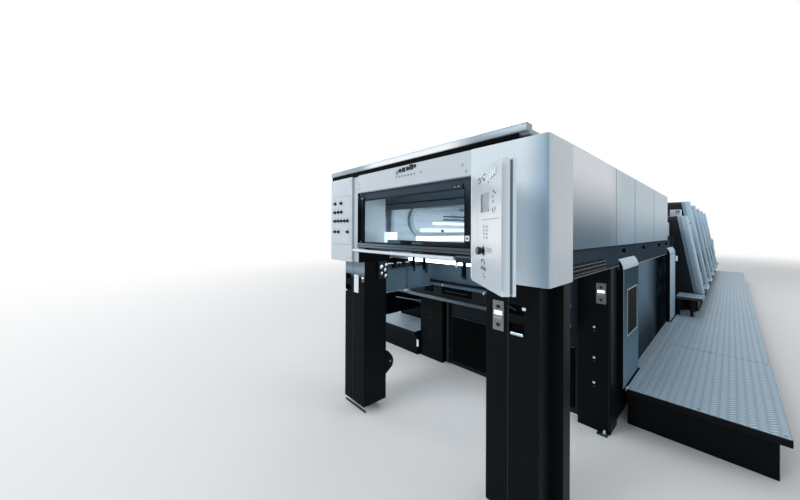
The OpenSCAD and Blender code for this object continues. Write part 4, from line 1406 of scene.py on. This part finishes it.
class PRESS_OT_hood_sides(PressOperator):
    """Joint seals, latches, grille lips and edge trims of the hood's long sides, and its roof lip; the trims are
    painted highlights, and black strips under the panels and the lip are painted shadows.
    """

    bl_idname = "press.hood_sides"
    bl_label = "Hood sides and roof lip"

    # Depths behind the hood front
    joints = (1.41, 2.09, 3.1)
    latches = (1.69, 2.53, 3.51, 4.11)

    def execute(self, context):
        seals = Piece("hood_joint_seals")
        for y in self.joints:
            seals.on_side(y - 0.001, y + 0.005, 1.4495, 2.036, WALL_FACE, 0.0006, "slot_black")
        # Black strip under the silver panels' lower edge: painted shadow
        seals.on_side(0.302, HOOD_END, 1.444, 1.4485, BAND_FACE, 0.012, "slot_black")
        seals.twin()
        seals.done()
        latch = Piece("hood_latches")
        for y in self.latches:
            latch.on_side(y - 0.016, y + 0.016, 1.384, 1.418, BAND_FACE, 0.023, "slot_black", 0.003)
            latch.on_side(y - 0.02, y + 0.02, 1.38, 1.422, BAND_FACE, 0.002, "edge_dark", 0.001)
        latch.twin()
        latch.done()
        lip = Piece("grille_lips")
        for row in range(3):
            z = 1.299 + row * 0.024
            for index in range(8):
                y = 0.46 + index * 0.092
                lip.on_side(y, y + 0.072, z - 0.002, z + 0.001, BAND_FACE, 0.003, "edge_grey", 0.001)
                lip.on_side(y, y + 0.072, z + 0.002, z + 0.018, BAND_FACE - 0.0005, 0.001, "slot_black")
        lip.on_side(0.45, 1.545, 1.283, 1.2915, CHASSIS_FACE + 0.001, 0.034, "edge_dark", 0.002)
        lip.twin()
        lip.done()
        edge = Piece("hood_top_highlights_and_shadow")
        # Bright strips along the roof edges and on top of the front lip: painted highlights
        edge.on_side(0.302, HOOD_END, 2.0405, 2.0475, CHASSIS_FACE + 0.001, 0.033, "edge_bright", 0.002)
        edge.twin()
        edge.on_front(-0.954, 0.85, 2.0655, 2.0705, 0, 0.004, "edge_bright", 0.002)
        # Black strip under the roof lip at the hood front: painted shadow
        edge.block(at(-0.954, 0.01, 1.999), at(0.8, 0.028, 2.0305), "slot_black", 0.001)
        edge.done()
        tail = Piece("hood_tail_fittings")
        tail.on_side(HOOD_END + 0.004, 4.296, 1.46, 2.01, CHASSIS_FACE, 0.006, "tail_grey", 0.004)
        tail.on_side(4.228, 4.236, 1.46, 2.0, CHASSIS_FACE + 0.006, 0.002, "slot_black")
        tail.on_side(4.31, 4.5, 1.5, 1.7, CHASSIS_FACE, 0.02, "panel_white", 0.018)
        tail.on_side(4.34, 4.47, 1.53, 1.67, BAND_FACE, 0.003, "edge_grey", 0.003)
        tail.twin()
        tail.done()
        return {"FINISHED"}


class PRESS_OT_cabinets(PressOperator):
    """Windows, edge trims and handles of the guard cabinets, and trims of the lower panels."""

    bl_idname = "press.cabinets"
    bl_label = "Guard cabinets and lower panels"

    # Near ends and length of the two cabinets, and the panels between them, behind the hood front
    starts = (1.55, 4.27)
    length = 0.58
    panels = (2.136, 4.264)

    def execute(self, context):
        self.one_side("cabinet_fittings_right", 0.92, 1)
        self.one_side("cabinet_fittings_left", 1.155, -1)
        return {"FINISHED"}

    def one_side(self, name, outer, side):
        """The fittings of one side, whose cabinets reach out to outer. They are made on the right."""
        piece = Piece(name)
        for start in self.starts:
            end = start + self.length
            piece.on_side(start + 0.002, end - 0.002, 1.2455, 1.2485, outer, 0.0018, "slot_black")
            piece.on_side(start, start + 0.012, 0.305, 1.245, outer, 0.001, "edge_grey")
            piece.on_side(start + 0.002, end - 0.002, 0.302, 0.31, outer, 0.0015, "edge_grey")
            for y in (start + 0.03, end - 0.03):
                piece.screw(at(outer, y, 0.36), X, 0.006, "edge_dark")
        window = (1.69, 2.05, 0.7, 1.07)
        piece.on_side(*window, outer, 0.001, "slot_black")
        for strip in rims(*window, 0.012):
            piece.on_side(*strip, outer, 0.003, "edge_grey", 0.0025)
        piece.on_side(4.8, 4.825, 1.12, 1.2, outer, 0.03, "edge_bright", 0.007)
        panel = outer - 0.04
        stud = ((0, 0), (0, 0.012), (0.002, 0.012), (0.003, 0.009), (0.003, 0))
        piece.on_side(*self.panels, 1.2475, 1.2535, panel, 0.005, "edge_grey", 0.0015)
        piece.on_side(*self.panels, 0.301, 0.306, panel, 0.004, "edge_dark")
        piece.on_side(2.9995, 3.0045, 0.302, 1.247, panel, 0.0006, "slot_black")
        for y in (2.3, 2.8, 3.18, 4.05):
            piece.turned(stud, at(panel, y, 1.2), X, "edge_dark", 16)
        if side < 0:
            piece.flip(piece.mesh.verts, piece.mesh.faces)
        piece.done()


class PRESS_OT_gallery_trims(PressOperator):
    """Edge flanges and nosings of the galleries, and screws in their plates."""

    bl_idname = "press.gallery_trims"
    bl_label = "Gallery trims"

    # Where the plates of both decks meet, and their far end
    seams = (3.1, 3.19, 5.32, 5.41, 9.26, 9.34, 13.0)

    def execute(self, context):
        right = Piece("gallery_trims_right")
        x0, x1, z = 0.932, 1.755, GALLERY_TOP
        right.block(at(x0, 1.5835, z - 0.0035), at(x1, 1.5875, z + 0.0012), "edge_dark", 0.001)
        right.block(at(x0 - 0.003, 1.578, z - 0.016), at(x0 + 0.003, 1.64, z + 0.004), "edge_bright", 0.0015)
        right.block(at(x1 - 0.004, 1.59, z - 0.0035), at(x1 + 0.001, 13.1, z + 0.0014), "edge_grey", 0.001)
        self.screws(right, 0.96, 1.73, z, 1.62)
        right.done()
        left = Piece("gallery_trims_left")
        left.block(at(-2.05, 1.298, z - 0.0035), at(-1.167, 1.302, z + 0.0012), "edge_grey", 0.001)
        left.block(at(-2.05, 1.774, 0.522), at(-1.167, 1.784, 0.553), "edge_bright", 0.003)
        left.block(at(-2.051, 1.79, 0.546), at(-2.046, 13.1, 0.5512), "edge_grey", 0.001)
        self.screws(left, -2.02, -1.26, LEFT_DECK_TOP, 1.84)
        left.done()
        return {"FINISHED"}

    def screws(self, piece, x0, x1, z, first):
        """Rows of three screws. On the right they stay clear of the units, which start at beside."""
        beside, clear = 5.35, 1.17
        head = ((-0.001, 0), (-0.001, 0.009), (0.0006, 0.009), (0.0016, 0.006), (0.0016, 0))
        for y in (first, *self.seams):
            for x in (x0, (x0 + x1) / 2, x1):
                if x > 0 and y > beside:
                    x = max(x, clear)
                piece.turned(head, at(x, y, z), Z, "worn_steel", 12)


def half_width(z):
    """Half the width of a unit's core at a height: less by its slope for each metre above its foot."""
    foot_half, foot, slope = 1.093, 0.58, 0.16392
    return foot_half - (z - foot) * slope


class PRESS_OT_unit_fittings(PressOperator):
    """Creases, edge strips, doors, handles and guards of the coater and the printing units."""

    bl_idname = "press.unit_fittings"
    bl_label = "Printing unit fittings"

    coater_top = 1.83
    unit_top = 2.16
    # How far the side covers reach out from the core, their foot and their lean
    cover = 0.1225
    foot = 0.582
    lean = Matrix.Rotation(math.radians(-9.31), 3, "Y")

    def execute(self, context):
        for number in range(6):
            top = self.unit_top if number else self.coater_top
            start = UNIT_START + number * UNIT_PITCH
            self.wings(number, start, top)
            self.doors(number, start, top)
            self.bay(number, start)
        return {"FINISHED"}

    def strip(self, piece, y, offset, width, high, proud, finish):
        """A strip on the front of a side cover that follows its lean."""
        corners = ((self.foot, offset), (self.foot, offset + width), (high, offset + width), (high, offset))
        outline = [at(half_width(z) + out, y - proud, z) for z, out in corners]
        piece.extruded(outline, Y * (proud + 0.001), finish)

    def wings(self, number, start, top):
        """Edge strips, screws, handles and creases of the side covers."""
        piece = Piece(f"unit_{number}_wing_trims")
        self.strip(piece, start, 0.004, 0.034, top - 0.012, 0.0012, "wing_inner")
        self.strip(piece, start, 0.0385, 0.003, top - 0.012, 0.0016, "slot_black")
        for height in (0.66, 1.25, top - 0.06):
            piece.screw(at(half_width(height) + 0.02, start - 0.001, height), -Y, 0.006, "edge_grey")
        low, high = 0.9, 1.2
        x = half_width((low + high) / 2) + self.cover
        piece.block(at(x - 0.004, start + 0.3, low), at(x + 0.006, start + 0.34, high), "edge_dark", 0.003,
                    3, self.lean)
        for height in (0.7, top - 0.12):
            x = half_width(height) + self.cover
            piece.block(at(x - 0.006, start + 0.1, height - 0.002),
                        at(x + 0.0015, start + 0.56, height + 0.002), "slot_black", turn=self.lean)
        piece.twin()
        piece.done()

    def doors(self, number, start, top):
        """Doors, displays, handles and lids of a unit's front, rear and top."""
        piece = Piece(f"unit_{number}_front_fittings")
        edge = half_width(top) - 0.03
        piece.block(at(-edge, start - 0.004, top - 0.01), at(edge, start + 0.01, top - 0.002), "edge_grey",
                    0.002)
        low, high = 1.22, top - 0.32
        door = half_width(high) - 0.09
        face = start - 0.008
        piece.on_front(-door, door, low, high, start, 0.008, "unit_door", 0.005)
        for x in (-door / 3, door / 3):
            piece.on_front(x - 0.002, x + 0.002, low + 0.01, high - 0.01, face, 0.0008, "slot_black")
        piece.on_front(-0.16, 0.16, high - 0.07, high - 0.05, face, 0.018, "edge_dark", 0.006)
        piece.on_front(0.03 - door, 0.1 - door, low + 0.1, low + 0.22, face, 0.006, "screen_glass", 0.003)
        button_plate(piece, door - 0.11, door - 0.05, low + 0.06, low + 0.2, face)
        piece.on_front(-door, door, high + 0.05, high + 0.056, start, 0.002, "edge_dark")
        rear = start + UNIT_DEPTH
        piece.block(at(-door, rear - 0.001, 1.28), at(door, rear + 0.008, top - 0.36), "unit_door", 0.005)
        piece.block(at(-0.2, rear + 0.006, top - 0.46), at(0.2, rear + 0.028, top - 0.44), "edge_grey", 0.006)
        knob = ((0, 0), (0, 0.02), (0.006, 0.02), (0.01, 0.012), (0.02, 0.012), (0.022, 0))
        for x in (0.06 - door, door - 0.06):
            piece.turned(knob, at(x, rear + 0.006, 1.4), Y, "knob_plastic", 18)
        cover = half_width(top) - 0.14
        piece.block(at(-cover, start + 0.12, top - 0.001), at(cover, start + 0.5, top + 0.006), "unit_door",
                    0.004)
        for x in (0.12 - cover, cover - 0.12):
            piece.cross_rod(x - 0.06, x + 0.06, start + 0.31, top + 0.014, 0.007, "edge_grey", 14, 0.003)
        piece.done()

    def bay(self, number, start):
        """Rollers, ink trough and steps between one unit and the next."""
        piece = Piece(f"unit_{number}_bay_fittings")
        y0, y1 = start + UNIT_DEPTH, start + UNIT_PITCH
        reach, axle, rail, shelf = 0.84, 1.22, 1.05, 1.178
        for y in (y0 + 0.17, y0 + 0.31):
            piece.cross_rod(-reach, reach, y, axle, 0.045, "wet_steel", 28, 0.004)
            for x0, x1 in sides(reach - 0.012, reach + 0.012):
                piece.block(at(x0, y - 0.05, shelf), at(x1, y + 0.05, 1.26), "edge_dark", 0.004)
        piece.block(at(-0.8, y0 + 0.42, shelf), at(0.8, y1 - 0.02, 1.215), "worn_steel", 0.006)
        for height in (0.78, 0.98):
            for x0, x1 in sides(0.859, 0.9):
                piece.block(at(x0, y0 + 0.06, height), at(x1, y1 - 0.06, height + 0.03), "worn_steel", 0.004)
        for x, foot in ((-0.9, -0.855), (0.9, 0.855)):
            piece.rod(at(x, y0 + 0.1, rail), at(x, y1 - 0.1, rail), 0.012, "edge_bright", 16, 0.003)
            for y in (y0 + 0.12, y1 - 0.12):
                piece.cross_rod(foot, x, y, rail, 0.008, "edge_bright", 12)
        for x0, x1 in sides(1.13, 1.221):
            for y in (y0 + 0.004, y1 - 0.05):
                piece.block(at(x0, y, 0.5795), at(x1, y + 0.046, 0.5835), "strip_pale", 0.0015)
        for x0, x1 in sides(1.2205, 1.2235):
            piece.block(at(x0, y0 + 0.004, 0.548), at(x1, y1 - 0.004, 0.582), "edge_bright", 0.001)
        piece.done()


class PRESS_OT_bench_and_neck(PressOperator):
    """Edges and feet of the bench, and the guards of the neck behind it."""

    bl_idname = "press.bench_and_neck"
    bl_label = "Bench and neck"

    def execute(self, context):
        bench = Piece("bench_trims")
        bench.block(at(0.924, 4.868, 0.542), at(1.2215, 4.8725, 0.5805), "edge_dark", 0.0015)
        bench.block(at(1.2175, 4.872, 0.542), at(1.2225, 5.338, 0.5805), "edge_grey", 0.0015)
        foot = ((0, 0), (0, 0.028), (0.006, 0.028), (0.01, 0.018), (0.014, 0.018), (0.014, 0))
        for x in (0.95, 1.1025):
            for y in (4.9, 5.3125):
                bench.turned(foot, at(x, y, GALLERY_TOP + 0.0005), Z, "rubber", 16)
        bench.done()
        guard = Piece("neck_guards")
        for x0, x1 in sides(0.799, 0.806):
            guard.block(at(x0, 4.88, 0.6), at(x1, 5.37, 1.24), "unit_door", 0.003)
        for x0, x1 in sides(0.805, 0.818):
            guard.block(at(x0, 4.94, 1.12), at(x1, 5.02, 1.14), "edge_bright", 0.004)
        for y in (4.93, 5.05, 5.17, 5.29):
            guard.block(at(-0.62, y, 1.8), at(0.62, y + 0.05, 1.806), "slot_black", 0.002)
        guard.done()
        box = Piece("terminal_box_fittings")
        low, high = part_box("coater_terminal")
        face = low.y - HOOD_FRONT
        box.on_front(high.x - 0.07, high.x - 0.016, low.z + 0.05, high.z - 0.014, face, 0.002,
                     "screen_glass", 0.001)
        box.on_front(low.x + 0.012, high.x - 0.08, low.z + 0.055, low.z + 0.062, face, 0.002, "plate_grey")
        button = ((0, 0), (0, 0.006), (0.004, 0.006), (0.005, 0))
        for index in range(4):
            x = low.x + 0.02 + index * 0.03
            box.turned(button, at(x, face, low.z + 0.03), -Y, "knob_plastic", 12)
        box.done()
        return {"FINISHED"}


class PRESS_OT_feeder(PressOperator):
    """Sheet pile, suction head, tapes, guards and controls of the feeder."""

    bl_idname = "press.feeder"
    bl_label = "Feeder fittings"

    face = 1.01
    length = 2.8
    tapes = (-0.55, -0.33, -0.11, 0.11, 0.33, 0.55)

    def execute(self, context):
        self.doors()
        self.pile()
        self.head()
        self.board()
        return {"FINISHED"}

    def doors(self):
        """Doors with their handles, and a control box, on both sides."""
        piece = Piece("feeder_side_fittings")
        start, end, face = FEEDER_START, FEEDER_START + self.length, self.face
        door = face + 0.012
        piece.on_side(start + 0.1, start + 1.3, 0.18, 1.2, face, 0.012, "cabinet_side", 0.008)
        piece.on_side(start + 1.42, end - 0.3, 0.18, 1.05, face, 0.012, "cabinet_side", 0.008)
        piece.on_side(start + 1.355, start + 1.365, 0.14, 1.24, face, 0.001, "slot_black")
        for y in (start + 0.24, start + 1.56):
            piece.on_side(y, y + 0.02, 0.6, 0.78, door, 0.028, "edge_dark", 0.007)
        for y in (start + 0.14, start + 1.26, start + 1.46, end - 0.34):
            piece.screw(at(door, y, 0.22), X, 0.008, "edge_grey")
        piece.block(at(0.98, start + 1.5, 1.08), at(1.05, start + 1.82, 1.3), "white_paint", 0.012, 3)
        button = ((0, 0), (0, 0.009), (0.006, 0.009), (0.008, 0.005), (0.008, 0))
        for row in range(3):
            for column in range(5):
                place = at(1.049, start + 1.54 + column * 0.05, 1.13 + row * 0.05)
                piece.turned(button, place, X, "key_white" if row else "knob_plastic", 14)
        piece.twin()
        piece.done()

    def pile(self):
        """Blank sheets on the pile board, and the chains that lift it."""
        low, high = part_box("pile_board")
        y0, y1 = low.y - HOOD_FRONT + 0.03, high.y - HOOD_FRONT - 0.03
        end = FEEDER_START + self.length
        sheets = Piece("blank_sheet_pile")
        layers, half, top, gap = 16, 0.51, 1.12, 0.0008
        step = (top - high.z) / layers
        for index in range(layers):
            shift = 0.0015 * math.sin(index * 2.4)
            z = high.z + index * step
            sheets.block(at(shift - half, y0, z), at(shift + half, y1, z + step - gap), "paper", 0.001)
        sheets.done()
        chains = Piece("pile_hoist_chains")
        for x in (-0.7, 0.7):
            for y in (y0 + 0.1, y1 - 0.1):
                chains.rod(at(x, y, 0.14), at(x, y, 1.21), 0.01, "worn_steel", 12, 0.002)
                chains.block(at(x - 0.02, y - 0.02, 0.2), at(x + 0.02, y + 0.02, 0.25), "edge_dark", 0.004)
        for y in (y0 + 0.1, y1 - 0.1):
            chains.block(at(-0.74, y - 0.03, 0.15), at(0.74, y + 0.03, 0.185), "black_paint", 0.005)
        chains.block(at(-0.749, end - 0.3, 1.0), at(0.749, end - 0.26, 1.06), "black_paint", 0.008)
        chains.done()

    def head(self):
        """Suction head over the pile, with its cups and the roller behind them."""
        y0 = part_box("feeder_head")[0].y - HOOD_FRONT
        head = Piece("suction_head")
        head.block(at(-0.3, y0 + 0.03, 1.501), at(0.3, y0 + 0.23, 1.56), "panel_white", 0.012, 3)
        cup = ((0, 0), (0, 0.026), (0.012, 0.02), (0.02, 0.014), (0.02, 0))
        y = y0 + 0.1
        for x in (-0.17, -0.06, 0.06, 0.17):
            head.rod(at(x, y, 1.12), at(x, y, 1.23), 0.014, "bright_steel", 16, 0.003)
            head.turned(cup, at(x, y, 1.105), Z, "rubber", 18)
        head.cross_rod(-0.84, 0.84, y0 + 0.13, 1.44, 0.09, "edge_grey", 32, 0.006)
        for x in (-0.5, 0.5):
            head.rod(at(x, y0 - 0.02, 1.46), at(x, y0 - 0.002, 1.46), 0.03, "knob_plastic", 20, 0.004)
        head.done()

    def board(self):
        """Tapes on the feed board, and the rollers that press on them."""
        tapes = Piece("feed_board_tapes")
        slope = Matrix.Rotation(math.atan2(0.11, 1.15), 3, "X")
        middle, half = FEEDER_START + 0.575, 0.55
        for x in self.tapes:
            tapes.block(at(x - 0.02, middle - half, 1.236), at(x + 0.02, middle + half, 1.24), "rubber",
                        0.001, 2, slope)
        for depth, z in ((0.25, 1.235), (0.6, 1.268), (0.95, 1.302)):
            y = FEEDER_START + depth
            tapes.cross_rod(-0.74, 0.74, y, z + 0.05, 0.009, "bright_steel", 14, 0.002)
            for x in self.tapes:
                tapes.cross_rod(x - 0.012, x + 0.012, y, z + 0.024, 0.02, "rubber", 20, 0.003)
                tapes.block(at(x - 0.006, y - 0.008, z + 0.02), at(x + 0.006, y + 0.008, z + 0.055),
                            "edge_dark", 0.002)
        tapes.done()


class PRESS_OT_roof(PressOperator):
    """Lids with their handles, and vents, on the hood's roof."""

    bl_idname = "press.roof"
    bl_label = "Roof lids and vents"

    def execute(self, context):
        roof = Piece("roof_lids")
        z = ROOF_TOP
        for y0, y1 in ((0.42, 1.38), (1.46, 2.42), (2.5, 3.2)):
            roof.block(at(-0.74, y0, z - 0.001), at(0.74, y1, z + 0.012), "silver_paint", 0.006)
            y = (y0 + y1) / 2
            for x in (-0.5, 0.5):
                roof.cross_rod(x - 0.07, x + 0.07, y, z + 0.03, 0.008, "edge_bright", 14, 0.003)
                for end in (x - 0.06, x + 0.06):
                    roof.rod(at(end, y, z + 0.01), at(end, y, z + 0.03), 0.006, "edge_bright", 12)
        for row in range(10):
            y = 3.36 + row * 0.07
            roof.block(at(-0.6, y, z - 0.001), at(0.6, y + 0.03, z + 0.004), "slot_black", 0.0015)
            roof.block(at(-0.6, y + 0.03, z - 0.001), at(0.6, y + 0.036, z + 0.01), "edge_grey", 0.002)
        roof.done()
        return {"FINISHED"}


class VIEW3D_PT_press(bpy.types.Panel):
    """Sizes, colours and pieces of the press."""

    bl_label = "Offset Printing Press"
    bl_idname = "VIEW3D_PT_press"
    bl_space_type = "VIEW_3D"
    bl_region_type = "UI"
    bl_category = "Press"

    def draw(self, context):
        layout = self.layout
        scene = context.scene
        for group in (scene.press_colours, scene.press_sizes, scene.press_studio):
            box = layout.box()
            for name in group.__annotations__:
                box.prop(group, name)
        for operator in OPERATORS:
            layout.operator(operator.bl_idname)


GROUPS = (PressColours, PressSizes, PressStudio)
OPERATORS = (
    PRESS_OT_stage, PRESS_OT_finishes, PRESS_OT_shells, PRESS_OT_control_plate, PRESS_OT_fascia_marks,
    PRESS_OT_window_fittings, PRESS_OT_delivery_inside, PRESS_OT_sill, PRESS_OT_swing_panel,
    PRESS_OT_leg_fittings, PRESS_OT_pile_space, PRESS_OT_rear_posts, PRESS_OT_hood_sides,
    PRESS_OT_cabinets, PRESS_OT_gallery_trims, PRESS_OT_unit_fittings, PRESS_OT_bench_and_neck,
    PRESS_OT_feeder, PRESS_OT_roof,
)


def register():
    for item in (*GROUPS, *OPERATORS, VIEW3D_PT_press):
        bpy.utils.register_class(item)
    bpy.types.Scene.press_colours = bpy.props.PointerProperty(type=PressColours)
    bpy.types.Scene.press_sizes = bpy.props.PointerProperty(type=PressSizes)
    bpy.types.Scene.press_studio = bpy.props.PointerProperty(type=PressStudio)


def unregister():
    del bpy.types.Scene.press_studio
    del bpy.types.Scene.press_sizes
    del bpy.types.Scene.press_colours
    for item in reversed((*GROUPS, *OPERATORS, VIEW3D_PT_press)):
        bpy.utils.unregister_class(item)


def main():
    """Makes the stage and every piece in order."""
    register()
    for operator in OPERATORS:
        group, name = operator.bl_idname.split(".")
        getattr(getattr(bpy.ops, group), name)()


if __name__ == "__main__":
    main()
